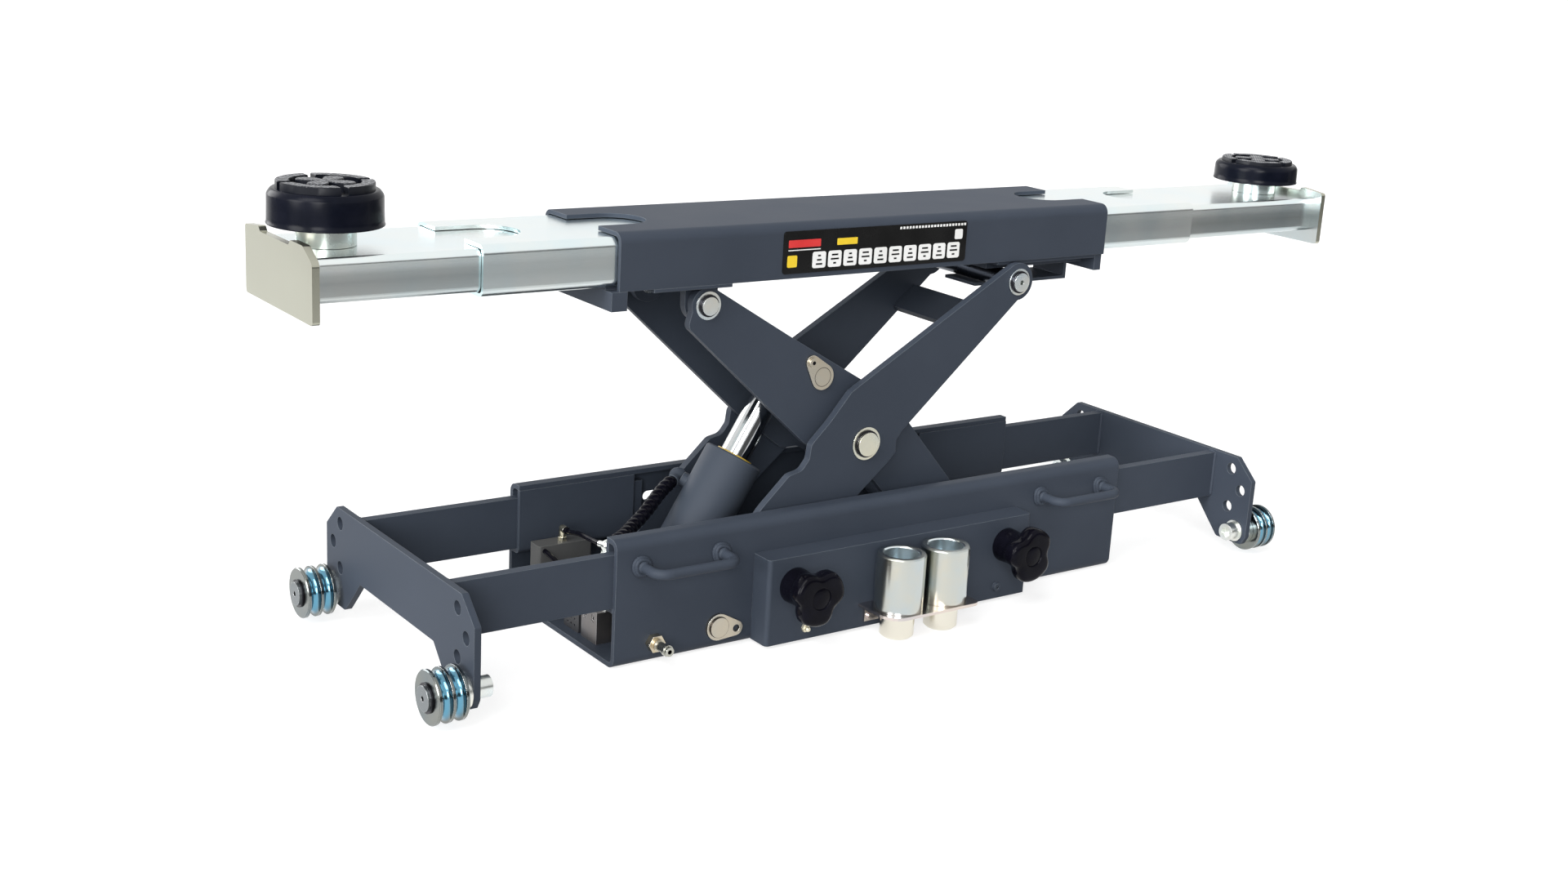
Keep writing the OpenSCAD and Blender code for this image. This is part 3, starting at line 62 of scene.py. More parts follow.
camera = {
    "place": (-1.4453, -1.8763, 0.8591),
    "yaw": 37.688,
    "pitch": 15.655,
    "roll": 3.751,
    "lens": 44.406,
    "shift": (-0.0333, -0.0024),
}


def addCamera():
    yaw, pitch, roll = (math.radians(camera[k]) for k in ("yaw", "pitch", "roll"))
    ahead = Vector((math.sin(yaw) * math.cos(pitch), math.cos(yaw) * math.cos(pitch), -math.sin(pitch)))
    level = Vector((math.cos(yaw), -math.sin(yaw), 0))
    above = level.cross(ahead)
    right = math.cos(roll) * level + math.sin(roll) * above
    up = math.cos(roll) * above - math.sin(roll) * level
    data = bpy.data.cameras.new("photoCamera")
    data.lens = camera["lens"]
    data.sensor_width = 36
    data.shift_x, data.shift_y = camera["shift"]
    data.clip_end = 200
    data.dof.use_dof = False
    seen = bpy.data.objects.new("photoCamera", data)
    turn = Matrix((right, up, -ahead)).transposed().to_4x4()
    seen.matrix_world = Matrix.Translation(camera["place"]) @ turn
    scene.collection.objects.link(seen)
    scene.camera = seen


addCamera()
scene.view_settings.view_transform = "Standard"
print("camera set")


# small helpers for node trees

def addNode(tree, kind, values=None, **settings):
    node = tree.nodes.new(kind)
    for key, value in settings.items():
        setattr(node, key, value)
    for key, value in (values or {}).items():
        node.inputs[key].default_value = value
    return node


def join(tree, start, end):
    tree.links.new(start, end)


def newGroup(name, inputs, outputs):
    group = bpy.data.node_groups.new(name, "ShaderNodeTree")
    for label, kind, value in inputs:
        socket = group.interface.new_socket(label, in_out="INPUT", socket_type=kind)
        socket.default_value = value
    for label, kind in outputs:
        group.interface.new_socket(label, in_out="OUTPUT", socket_type=kind)
    return group, group.nodes.new("NodeGroupInput"), group.nodes.new("NodeGroupOutput")


def useGroup(tree, group, **values):
    node = tree.nodes.new("ShaderNodeGroup")
    node.node_tree = group
    for key, value in values.items():
        node.inputs[key].default_value = value
    return node


def mathNode(tree, operation, a, b=None, clamp=False):
    node = addNode(tree, "ShaderNodeMath", operation=operation, use_clamp=clamp)
    for i, value in enumerate((a, b)):
        if value is None:
            continue
        if isinstance(value, (int, float)):
            node.inputs[i].default_value = value
        else:
            join(tree, value, node.inputs[i])
    return node.outputs[0]


def mixColours(tree, factor, a, b):
    node = addNode(tree, "ShaderNodeMix", data_type="RGBA")
    if isinstance(factor, (int, float)):
        node.inputs[0].default_value = factor
    else:
        join(tree, factor, node.inputs[0])
    for socket, value in ((node.inputs[6], a), (node.inputs[7], b)):
        if isinstance(value, tuple):
            socket.default_value = (*value, 1)
        else:
            join(tree, value, socket)
    return node.outputs[2]


def vectorMath(tree, operation, a, b=None):
    node = addNode(tree, "ShaderNodeVectorMath", operation=operation)
    join(tree, a, node.inputs[0])
    if b is not None:
        join(tree, b, node.inputs[1])
    return node


def spread(tree, value, lowFrom, highFrom, lowTo=0.0, highTo=1.0):
    node = addNode(tree, "ShaderNodeMapRange", {1: lowFrom, 2: highFrom, 3: lowTo, 4: highTo})
    join(tree, value, node.inputs[0])
    return node.outputs[0]


def band(tree, value, low, high):
    node = addNode(tree, "ShaderNodeMath", {1: (low + high) / 2, 2: (high - low) / 2}, operation="COMPARE")
    join(tree, value, node.inputs[0])
    return node.outputs[0]


def axesOf(tree, kind, output):  # x, y and z of a node's vector
    source = addNode(tree, kind)
    apart = addNode(tree, "ShaderNodeSeparateXYZ")
    join(tree, source.outputs[output], apart.inputs[0])
    return apart.outputs


# shader groups that several finishes share

# bevel normal for rounded edges, and a mask of those edges that finishes use to paint a highlight
def makeRoundedEdges():
    group, given, out = newGroup(
        "roundedEdges",
        [("Radius", "NodeSocketFloat", 0.0008), ("Reach", "NodeSocketFloat", 4.0)],
        [("Normal", "NodeSocketVector"), ("EdgeHighlight", "NodeSocketFloat")],
    )
    bevel = addNode(group, "ShaderNodeBevel", samples=4)
    join(group, given.outputs["Radius"], bevel.inputs["Radius"])
    surface = addNode(group, "ShaderNodeNewGeometry")
    dot = vectorMath(group, "DOT_PRODUCT", bevel.outputs[0], surface.outputs["Normal"])
    bend = mathNode(group, "SUBTRACT", 1.0, dot.outputs["Value"])
    join(group, mathNode(group, "MULTIPLY", bend, given.outputs["Reach"], True), out.inputs["EdgeHighlight"])
    join(group, bevel.outputs[0], out.inputs["Normal"])
    return group


def makeGrain():
    group, given, out = newGroup(
        "surfaceGrain",
        [("Fine", "NodeSocketFloat", 900.0), ("Broad", "NodeSocketFloat", 6.0)],
        [("Height", "NodeSocketFloat"), ("Cloud", "NodeSocketFloat")],
    )
    place = addNode(group, "ShaderNodeTexCoord")
    fine = addNode(group, "ShaderNodeTexNoise", {"Detail": 3.0, "Roughness": 0.6})
    broad = addNode(group, "ShaderNodeTexNoise", {"Detail": 4.0, "Roughness": 0.55})
    for noise, label in ((fine, "Fine"), (broad, "Broad")):
        join(group, place.outputs["Object"], noise.inputs["Vector"])
        join(group, given.outputs[label], noise.inputs["Scale"])
    join(group, fine.outputs[0], out.inputs["Height"])
    join(group, broad.outputs[0], out.inputs["Cloud"])
    return group


def makeTurnedMarks():
    group, given, out = newGroup(
        "turnedMarks",
        [
            ("Centre", "NodeSocketVector", (0, 0, 0)),
            ("Axis", "NodeSocketVector", (0, 0, 1)),
            ("Pitch", "NodeSocketFloat", 0.0006),
        ],
        [("Height", "NodeSocketFloat"), ("Radius", "NodeSocketFloat"), ("Along", "NodeSocketFloat")],
    )
    place = addNode(group, "ShaderNodeTexCoord")
    away = vectorMath(group, "SUBTRACT", place.outputs["Object"], given.outputs["Centre"])
    along = vectorMath(group, "DOT_PRODUCT", away.outputs[0], given.outputs["Axis"])
    across = vectorMath(group, "CROSS_PRODUCT", away.outputs[0], given.outputs["Axis"])
    radius = vectorMath(group, "LENGTH", across.outputs[0])
    path = mathNode(group, "ADD", radius.outputs["Value"], along.outputs["Value"])
    turns = mathNode(group, "DIVIDE", path, given.outputs["Pitch"])
    wave = mathNode(group, "SINE", mathNode(group, "MULTIPLY", turns, 2 * math.pi))
    join(group, wave, out.inputs["Height"])
    join(group, radius.outputs["Value"], out.inputs["Radius"])
    join(group, along.outputs["Value"], out.inputs["Along"])
    return group


roundedEdges = makeRoundedEdges()
surfaceGrain = makeGrain()
turnedMarks = makeTurnedMarks()
print("shader groups made")


def startMaterial(name, **constants):
    material = bpy.data.materials.new(name)
    material.use_nodes = True
    tree = material.node_tree
    shader = tree.nodes["Principled BSDF"]
    for key, value in constants.items():
        shader.inputs[key.replace("_", " ")].default_value = value
    return material, tree, shader


def addBump(tree, shader, height, strength, depth, normal=None):
    bump = addNode(tree, "ShaderNodeBump", {"Strength": strength, "Distance": depth})
    join(tree, height, bump.inputs["Height"])
    if normal is not None:
        join(tree, normal, bump.inputs["Normal"])
    join(tree, bump.outputs[0], shader.inputs["Normal"])


def addRoughness(tree, shader, grain, rough):
    join(tree, spread(tree, grain.outputs["Cloud"], 0.3, 0.7, *rough), shader.inputs["Roughness"])


# powder coat: fine orange peel, broad clouds and a painted highlight along the rounded edges

paintLook = {
    "dark": (0.038, 0.047, 0.064),
    "pale": (0.045, 0.055, 0.074),
    # colour of the painted highlight along rounded edges
    "edge": (0.150, 0.172, 0.195),
    "bareZinc": (0.74, 0.70, 0.56),
    "rough": (0.48, 0.58),
    "shine": 0.11,
    "edgeRadius": 0.0011,
    "edgeHighlightReach": 5.0,
    "peelScale": 420.0,
    "cloudScale": 5.0,
    "peel": (0.12, 0.00025),
}
barrelLook = {**paintLook, "dark": (0.046, 0.056, 0.074), "pale": (0.054, 0.065, 0.085)}
tankLook = {
    **paintLook, "dark": (0.075, 0.077, 0.078), "pale": (0.095, 0.096, 0.095),
    # colour of the painted highlight along the tank's rounded edges
    "edge": (0.20, 0.20, 0.19), "rough": (0.45, 0.55),
}


def makePaint(name, look, bare=None):  # bare: span of x where a fitting is left unpainted
    material, tree, shader = startMaterial(name, Specular_IOR_Level=look["shine"])
    edges = useGroup(tree, roundedEdges, Radius=look["edgeRadius"], Reach=look["edgeHighlightReach"])
    grain = useGroup(tree, surfaceGrain, Fine=look["peelScale"], Broad=look["cloudScale"])
    cloud = spread(tree, grain.outputs["Cloud"], 0.35, 0.65)
    body = mixColours(tree, cloud, look["dark"], look["pale"])
    # painted highlight: a paler colour is mixed in along the rounded edges
    body = mixColours(tree, edges.outputs["EdgeHighlight"], body, look["edge"])
    if bare:
        metal = band(tree, axesOf(tree, "ShaderNodeTexCoord", "Object")["X"], *bare)
        body = mixColours(tree, metal, body, look["bareZinc"])
        join(tree, metal, shader.inputs["Metallic"])
    join(tree, body, shader.inputs["Base Color"])
    addRoughness(tree, shader, grain, look["rough"])
    addBump(tree, shader, grain.outputs["Height"], *look["peel"], edges.outputs["Normal"])
    return material


# zinc plating: drifts between blue and straw, with a light brushed grain

plateLook = {
    "cool": (0.78, 0.88, 0.90),
    "warm": (0.86, 0.90, 0.88),
    # darkest share of the painted reflection and shade on the tube walls
    "side": 0.52,
    # painted reflection and shade by height: bright under the top bend, darkest below the middle, lighter at
    # the foot
    "paintedWallShading": ((0.0, 0.35), (0.10, 0.20), (0.45, 0.0), (0.62, 0.25), (0.74, 0.8), (0.84, 1.0), (1.0, 1.0)),
    # colour of the painted highlight on faces that point along x, the cut edges
    "paintedCutHighlight": (0.70, 0.88, 0.91),
    "endPlate": (0.45, 0.45, 0.37),
    "rough": (0.19, 0.27),
    "grain": (0.06, 0.0002),
}
# middle tubes: lighter painted shade on the walls
middleTubeLook = {**plateLook, "side": 0.72}
shelfLook = {
    # warmer zinc, with a warm painted highlight on faces that point along x
    **plateLook, "cool": (0.58, 0.54, 0.54), "warm": (0.70, 0.61, 0.54), "paintedCutHighlight": (0.72, 0.64, 0.60),
}


# walls: span of z that the painted reflection and shade on the side walls runs over; ends: span of x of the
# end plate
def makePlate(name, look, walls=None, ends=None):
    material, tree, shader = startMaterial(name, Metallic=1.0)
    grain = useGroup(tree, surfaceGrain, Fine=700.0, Broad=7.0)
    drift = spread(tree, grain.outputs["Cloud"], 0.38, 0.62)
    body = mixColours(tree, drift, look["cool"], look["warm"])
    place = axesOf(tree, "ShaderNodeTexCoord", "Object")
    # painted reflection and shade: the walls are dimmed by height
    if walls:
        ramp = addNode(tree, "ShaderNodeValToRGB")
        stops = ramp.color_ramp.elements
        first, *between, last = look["paintedWallShading"]
        for stop, (at, share) in ((stops[0], first), (stops[1], last)):
            stop.position, stop.color = at, (share, share, share, 1)
        for at, share in between:
            stops.new(at).color = (share, share, share, 1)
        join(tree, spread(tree, place["Z"], *walls), ramp.inputs[0])
        dim = vectorMath(tree, "SCALE", body)
        join(tree, spread(tree, ramp.outputs[0], 0, 1, look["side"], 1.0), dim.inputs["Scale"])
        body = dim.outputs[0]
    if ends:
        body = mixColours(tree, band(tree, place["X"], *ends), body, look["endPlate"])
    else:
        # painted highlight: faces that point along x, the cut edges, get a pale tint
        facing = axesOf(tree, "ShaderNodeNewGeometry", "Normal")
        cutHighlight = spread(tree, mathNode(tree, "ABSOLUTE", facing["X"]), 0.3, 0.7)
        body = mixColours(tree, cutHighlight, body, look["paintedCutHighlight"])
    join(tree, body, shader.inputs["Base Color"])
    addRoughness(tree, shader, grain, look["rough"])
    addBump(tree, shader, grain.outputs["Height"], *look["grain"])
    return material


# turned and plated parts, with tints, painted highlights and painted shade placed by the distance from the
# axis and along it

turnedShades = {
    # colour of the painted highlight on rounded rims
    "edge": (0.95, 0.96, 0.96),
    "clip": (0.030, 0.030, 0.036),
    "sleeve": (0.050, 0.058, 0.075),
    # colour of the painted shade in the gap round a pin end
    "ring": (0.08, 0.07, 0.065),
    # colour of the painted shade inside sockets and bores
    "hole": (0.012, 0.012, 0.014),
    "ringShadeReach": (-0.0003, 0.0005),
    "socketRadii": (0.0022, 0.0026),
}


def makeTurned(name, centre, axis, look):
    shades = turnedShades
    material, tree, shader = startMaterial(name, Metallic=1.0)
    edges = useGroup(tree, roundedEdges, Radius=0.0005, Reach=2.5)
    grain = useGroup(tree, surfaceGrain, Fine=900.0, Broad=22.0)
    marks = useGroup(tree, turnedMarks, Centre=centre, Axis=axis, Pitch=0.0007)
    drift = spread(tree, grain.outputs["Cloud"], 0.35, 0.65)
    body = mixColours(tree, drift, look["cool"], look["warm"])
    far = mathNode(tree, "ABSOLUTE", marks.outputs["Along"])
    # near the axis: a tint in the roller grooves, and painted light that brightens the adaptor bores
    if "innerTintAndPaintedLight" in look:
        inner = spread(tree, marks.outputs["Radius"], *look["innerRadii"], 1.0, 0.0)
        if "innerHalf" in look:
            inner = mathNode(tree, "MULTIPLY", inner, spread(tree, far, *look["innerHalf"], 1.0, 0.0))
        body = mixColours(tree, inner, body, look["innerTintAndPaintedLight"])
    # low end of the part: a second metal's tint on the inlet and the fittings,
    # painted shade on the outer axle ends, and a painted reflection on the adaptor feet
    if "lowTintAndPaintedLight" in look:
        low = spread(tree, marks.outputs["Along"], *look["lowSpan"], 1.0, 0.0)
        body = mixColours(tree, low, body, look["lowTintAndPaintedLight"])
    # painted highlight: rims are mixed toward near-white
    body = mixColours(tree, edges.outputs["EdgeHighlight"], body, shades["edge"])
    if "clip" in look:
        body = mixColours(tree, band(tree, far, *look["clip"]), body, shades["clip"])
    if "sleeve" in look:
        body = mixColours(tree, band(tree, far, 0.0, look["sleeve"]), body, shades["sleeve"])
    # painted shade: a dark thin ring in the gap round the pin end
    if "ring" in look:
        gap = band(tree, marks.outputs["Radius"], *(look["ring"] + reach for reach in shades["ringShadeReach"]))
        body = mixColours(tree, gap, body, shades["ring"])
    # painted shade: a dark disc inside the screw's socket
    if "socket" in look:
        head = useGroup(tree, turnedMarks, Centre=look["socket"], Axis=axis)
        hole = spread(tree, head.outputs["Radius"], *shades["socketRadii"], 1.0, 0.0)
        body = mixColours(tree, hole, body, shades["hole"])
    # painted shade: a dark disc inside the bore
    if "bore" in look:
        bore = spread(tree, marks.outputs["Radius"], *look["bore"], 1.0, 0.0)
        body = mixColours(tree, bore, body, shades["hole"])
    join(tree, body, shader.inputs["Base Color"])
    addRoughness(tree, shader, grain, look["rough"])
    addBump(tree, shader, marks.outputs["Height"], look.get("bump", 0.05), 0.0001, edges.outputs["Normal"])
    return material


keeperZinc = {"cool": (0.45, 0.43, 0.37), "warm": (0.53, 0.46, 0.35), "rough": (0.24, 0.36)}
brightZinc = {"cool": (0.66, 0.74, 0.78), "warm": (0.76, 0.75, 0.68), "rough": (0.22, 0.34)}
stemZinc = {**brightZinc, "cool": (0.50, 0.57, 0.57), "warm": (0.60, 0.60, 0.52)}
pinZinc = {**brightZinc, "cool": (0.56, 0.57, 0.50), "warm": (0.66, 0.63, 0.50)}
# the outer axle ends are painted darker: a painted shade on their reflection
axleZinc = {
    **brightZinc, "clip": (0.6392, 0.6411), "lowTintAndPaintedLight": (0.20, 0.22, 0.23), "lowSpan": (-0.635, -0.630),
}
rollerZinc = {
    "cool": (0.16, 0.19, 0.20), "warm": (0.21, 0.22, 0.20), "rough": (0.10, 0.16),
    "innerTintAndPaintedLight": (0.13, 0.33, 0.46), "innerRadii": (0.0235, 0.0278), "innerHalf": (0.0158, 0.0168),
}
adaptorZinc = {
    "cool": (0.49, 0.54, 0.55), "warm": (0.57, 0.56, 0.49), "rough": (0.16, 0.26),
    # pale cyan tint in the bore, raised close to white as painted light against the shade inside it
    "innerTintAndPaintedLight": (0.90, 0.97, 1.0), "innerRadii": (0.0222, 0.0235),
    # the foot below the shelf is painted warmer and lighter: a painted reflection
    "lowTintAndPaintedLight": (0.72, 0.69, 0.60), "lowSpan": (0.026, 0.040),
}
blockSteel = {"cool": (0.18, 0.18, 0.19), "warm": (0.25, 0.23, 0.22), "rough": (0.38, 0.50)}
steelLook = {"cool": (0.50, 0.51, 0.52), "warm": (0.56, 0.55, 0.53), "rough": (0.26, 0.38)}
chromeLook = {"cool": (0.60, 0.62, 0.64), "warm": (0.66, 0.67, 0.67), "rough": (0.05, 0.09), "bump": 0.015}
brassLook = {"cool": (0.50, 0.43, 0.30), "warm": (0.62, 0.55, 0.42), "rough": (0.20, 0.32)}
inletLook = {
    **brassLook, "lowTintAndPaintedLight": (0.42, 0.42, 0.37), "lowSpan": (-0.1412, -0.1402),
    # radii of the painted shade inside the inlet's bore
    "bore": (0.0025, 0.0028),
}
fittingLook = {
    "cool": (0.76, 0.72, 0.54), "warm": (0.86, 0.80, 0.62), "rough": (0.20, 0.30),
    "lowTintAndPaintedLight": (0.84, 0.87, 0.84), "lowSpan": (0.0345, 0.0355),
}


# rubber and moulded plastic

mouldedLooks = {
    "blackPlastic": {
        "dark": (0.0026, 0.0024, 0.0045), "pale": (0.0045, 0.0045, 0.0085), "rough": (0.11, 0.18),
        "bump": 0.05, "edgeRadius": 0.0010, "coat": 0.02, "shine": 0.06,
    },
    "blackRubber": {
        "dark": (0.0025, 0.0035, 0.0075), "pale": (0.005, 0.006, 0.012), "rough": (0.20, 0.28),
        "shine": 0.09,
    },
    "motorPlastic": {"dark": (0.020, 0.021, 0.024), "pale": (0.030, 0.031, 0.035), "rough": (0.4, 0.5)},
    "wiperYellow": {"dark": (0.62, 0.42, 0.05), "pale": (0.72, 0.52, 0.10), "rough": (0.35, 0.45)},
}


def makeMoulded(name, dark, pale, rough, bump=0.10, edgeRadius=0.0006, coat=0.0, shine=0.5):
    material, tree, shader = startMaterial(name, Coat_Weight=coat, Specular_IOR_Level=shine)
    edges = useGroup(tree, roundedEdges, Radius=edgeRadius, Reach=1.5)
    grain = useGroup(tree, surfaceGrain, Fine=600.0, Broad=30.0)
    cloud = spread(tree, grain.outputs["Cloud"], 0.35, 0.65)
    join(tree, mixColours(tree, cloud, dark, pale), shader.inputs["Base Color"])
    addRoughness(tree, shader, grain, rough)
    addBump(tree, shader, grain.outputs["Height"], bump, 0.0002, edges.outputs["Normal"])
    return material


treadLook = {
    "rubber": (0.004, 0.005, 0.009),
    # colour of the painted highlight on the rib tops
    "paintedRibHighlight": (0.78, 0.80, 0.84),
    "rough": (0.34, 0.46),
    "ribPitch": 0.0046,
    "ribSharpness": 2.2,
    "shine": 0.2,
    "relief": (0.8, 0.0006),
}


def makeTreadRubber(name):  # crossed ribs, with a painted highlight on the raised rib tops that point up, stronger in patches
    look = treadLook
    material, tree, shader = startMaterial(name, Specular_IOR_Level=look["shine"])
    grain = useGroup(tree, surfaceGrain, Fine=500.0, Broad=260.0)
    place = axesOf(tree, "ShaderNodeTexCoord", "Object")
    facing = axesOf(tree, "ShaderNodeNewGeometry", "Normal")
    rows = math.pi / look["ribPitch"]
    ribs = []
    for operation in ("ADD", "SUBTRACT"):
        run = mathNode(tree, operation, place["X"], place["Y"])
        wave = mathNode(tree, "SINE", mathNode(tree, "MULTIPLY", run, rows))
        valley = mathNode(tree, "SUBTRACT", 1.0, mathNode(tree, "ABSOLUTE", wave))
        ribs.append(mathNode(tree, "POWER", valley, look["ribSharpness"]))
    height = mathNode(tree, "MAXIMUM", *ribs)
    onTop = spread(tree, facing["Z"], 0.6, 0.95)
    paintedRibHighlight = spread(tree, grain.outputs["Cloud"], 0.42, 0.60, 0.15, 1.0)
    raised = mathNode(tree, "MULTIPLY", height, onTop)
    light = mathNode(tree, "MULTIPLY", raised, paintedRibHighlight)
    join(tree, mixColours(tree, light, look["rubber"], look["paintedRibHighlight"]), shader.inputs["Base Color"])
    addRoughness(tree, shader, grain, look["rough"])
    addBump(tree, shader, raised, *look["relief"])
    return material


paint = makePaint("greyPowderCoat", paintLook)
barrelPaint = makePaint("barrelPaint", barrelLook)
tankPaint = makePaint("tankPaint", tankLook)
blackPlastic, blackRubber, motorPlastic, wiperYellow = (
    makeMoulded(name, **look) for name, look in mouldedLooks.items()
)
treadRubber = makeTreadRubber("treadRubber")
print("finishes made")


# finishes of the rigid pieces that stay as they are

def dress(names, material):
    for name in names:
        part = nodes[name]
        if not part.material_slots:
            part.data.materials.append(material)
        for place in part.material_slots:
            place.material = material


def dressTurned(name, look, axis, centre=None):
    middle = box(name)[2] if centre is None else Vector(centre)
    dress([name], makeTurned(name + "Finish", middle, axis, look))


dress(
    [
        "base_tray", "arm_guides", "knob_box", "carry_handles", "lower_pivot_spacers", "left_carriage",
        "right_carriage", "outer_arm_front", "outer_arm_rear", "outer_spreader", "inner_arm_front",
        "inner_arm_rear", "inner_spreader", "main_beam", "beam_cross_bars", "pivot_brackets", "shaft_track",
    ],
    paint,
)
nippleReach = (-0.001, 0.0115)  # span of the unpainted grease nipple from the node's left end
nippleSpan = [box("box_fasteners")[0].x + reach for reach in nippleReach]
dress(["box_fasteners"], makePaint("fastenerPaint", paintLook, nippleSpan))
dress(["cylinder_barrel"], barrelPaint)
dress(["pump_reservoir"], tankPaint)
dress(["adaptor_bracket"], makePlate("shelfFinish", shelfLook))

tubeBands = {"sheet": 0.005, "endPlate": 0.0079, "past": 0.001}
lowZ, highZ = (corner.z for corner in box("left_middle_tube")[:2])
middleFinish = makePlate("middleTubeFinish", middleTubeLook, (lowZ, highZ))
dress(["left_middle_tube", "right_middle_tube"], middleFinish)
walls = (lowZ + tubeBands["sheet"], highZ - tubeBands["sheet"])
for name, side in (("left_inner_tube", -1), ("right_inner_tube", 1)):
    endX = box(name)[0 if side < 0 else 1].x
    ends = sorted((endX + side * tubeBands["past"], endX - side * tubeBands["endPlate"]))
    dress([name], makePlate(name + "Finish", plateLook, walls, ends))
dress(["air_motor"], motorPlastic)
dress(["rod_wiper"], wiperYellow)

# distances in metres from the middle of the jack, as the CAD has them
shaftBands = {
    "upper_slide_shaft": {"clip": (0.0950, 0.0967), "sleeve": 0.0815},
    "centre_pin": {"clip": (0.0950, 0.0967)},
    "upper_pivot_pins": {"clip": (0.0784, 0.0801)},
    "lower_slide_shaft": {"clip": (0.1002, 0.1017)},
}
# pin centres, and the radius of the painted shade ring round each pin end
keepers = {
    "lower_pivot_pin": {"pin": (-0.2509, 0, 0.0281), "ring": 0.0125},
    "rod_pin": {"pin": (-0.0828, 0, 0.3008), "ring": 0.0115, "socket": (-0.0989, 0, 0.3200)},
}
barrelTilt = math.radians(58.354)

for name in ("left_front_roller", "left_rear_roller", "right_front_roller", "right_rear_roller"):
    dressTurned(name, rollerZinc, axisX)
for name, side in (("left_axles", 1), ("right_axles", -1)):
    dressTurned(name, axleZinc, (side, 0, 0), (0, 0, 0))
for name, bands in shaftBands.items():
    middle = box(name)[2]
    zinc = pinZinc if name == "centre_pin" else brightZinc
    dressTurned(name, {**zinc, **bands}, axisY, (middle.x, 0, middle.z))
for name, keeper in keepers.items():
    dressTurned(name, {**keeperZinc, **keeper}, axisY, keeper["pin"])
for name in ("slide_roller_front", "slide_roller_rear", "left_shoe", "right_shoe"):
    dressTurned(name, steelLook, axisY)
for name in ("left_adaptor", "right_adaptor"):
    lo, _, middle = box(name)
    dressTurned(name, adaptorZinc, axisZ, (middle.x, middle.y, lo.z))
for name in ("left_pad_stem", "right_pad_stem"):
    dressTurned(name, stemZinc, axisZ)
for name in ("piston_rod", "piston"):
    dressTurned(name, chromeLook, (math.cos(barrelTilt), 0, math.sin(barrelTilt)))
dressTurned("valve_block", blockSteel, axisX)
dressTurned("pump_fittings", fittingLook, axisY, (0, 0, 0))
inlet = box("air_inlet")[2]
dressTurned("air_inlet", inletLook, axisY, (inlet.x, 0, inlet.z))
print("rigid pieces dressed")


# mesh helpers

def meshPiece(name, points, faces, material, body, smooth=True):
    mesh = bpy.data.meshes.new(name)
    mesh.from_pydata([tuple(p) for p in points], [], faces)
    mesh.validate()
    shell = bmesh.new()
    shell.from_mesh(mesh)
    bmesh.ops.recalc_face_normals(shell, faces=shell.faces)
    shell.to_mesh(mesh)
    shell.free()
    mesh.materials.append(material)
    piece = bpy.data.objects.new(name, mesh)
    scene.collection.objects.link(piece)
    if smooth:
        mesh.polygons.foreach_set("use_smooth", [True] * len(mesh.polygons))
    if body:
        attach(piece, body)
    return piece


def sharpen(piece, degrees=35):  # keeps the edges that turn more than this crisp
    mesh = piece.data
    shell = bmesh.new()
    shell.from_mesh(mesh)
    limit = math.radians(degrees)
    for edge in shell.edges:
        edge.smooth = len(edge.link_faces) == 2 and edge.calc_face_angle(0) < limit
    shell.to_mesh(mesh)
    shell.free()


def shellFaces(count, rings):  # sides and both ends of a stack of rings
    faces = []
    for i in range(rings - 1):
        for k in range(count):
            a, b = i * count + k, i * count + (k + 1) % count
            faces.append((a, b, b + count, a + count))
    faces.append(tuple(range(count))[::-1])
    faces.append(tuple(range((rings - 1) * count, rings * count)))
    return faces


def lathe(profile, centre, steps=96):
    points = []
    for radius, z in profile:
        for k in range(steps):
            a = 2 * math.pi * k / steps
            points.append(centre + Vector((radius * math.cos(a), radius * math.sin(a), z)))
    return points, shellFaces(steps, len(profile))


def smoothRoute(route, steps):
    route = [Vector(p) * mm for p in route]
    last = len(route) - 1
    points = []
    for n in range(steps + 1):
        at = n / steps * last
        i = min(int(at), last - 1)
        t = at - i
        a, b, c, d = (route[max(i - 1, 0)], route[i], route[i + 1], route[min(i + 2, last)])
        points.append(0.5 * (
            2 * b + (c - a) * t + (2 * a - 5 * b + 4 * c - d) * t ** 2 + (3 * b - a - 3 * c + d) * t ** 3
        ))
    return points


def tubeAlong(points, radiusAt, sides, upright=Vector((0, 0, 1))):
    rings, total = [], len(points)
    for i, centre in enumerate(points):
        ahead = (points[min(i + 1, total - 1)] - points[max(i - 1, 0)]).normalized()
        side = ahead.cross(upright).normalized()
        top = side.cross(ahead)
        for k in range(sides):
            a = 2 * math.pi * k / sides
            rings.append(centre + radiusAt(i, a) * (math.cos(a) * side + math.sin(a) * top))
    return rings, shellFaces(sides, total)


# rubber pads: moulded cup, bead at the foot, tread of arcs and lobes

padShape = {
    "radius": 0.0599,
    "bead": 0.0016,
    "heights": {"left": (0.0330, 0.0368, 0.0448), "right": (0.0232, 0.0266, 0.0318)},
    "treadOuter": 0.0500,
    "treadInner": 0.0365,
    "slit": 0.0040,
    "arcSteps": 18,
    "lobeReach": 0.0322,
    "lobeWidth": 0.30,
    "lobeTaper": 0.35,
    "lobeSteps": 28,
    "edge": 0.0009,
    "sunk": 0.001,
}


def roundedBlock(outline, low, high, edge):
    centre = sum(outline, Vector((0, 0))) / len(outline)
    inner = [p + (centre - p).normalized() * edge for p in outline]
    layers = [(outline, low), (outline, high - edge), (inner, high)]
    points = [Vector((p.x, p.y, z)) for ring, z in layers for p in ring]
    return points, shellFaces(len(outline), len(layers))


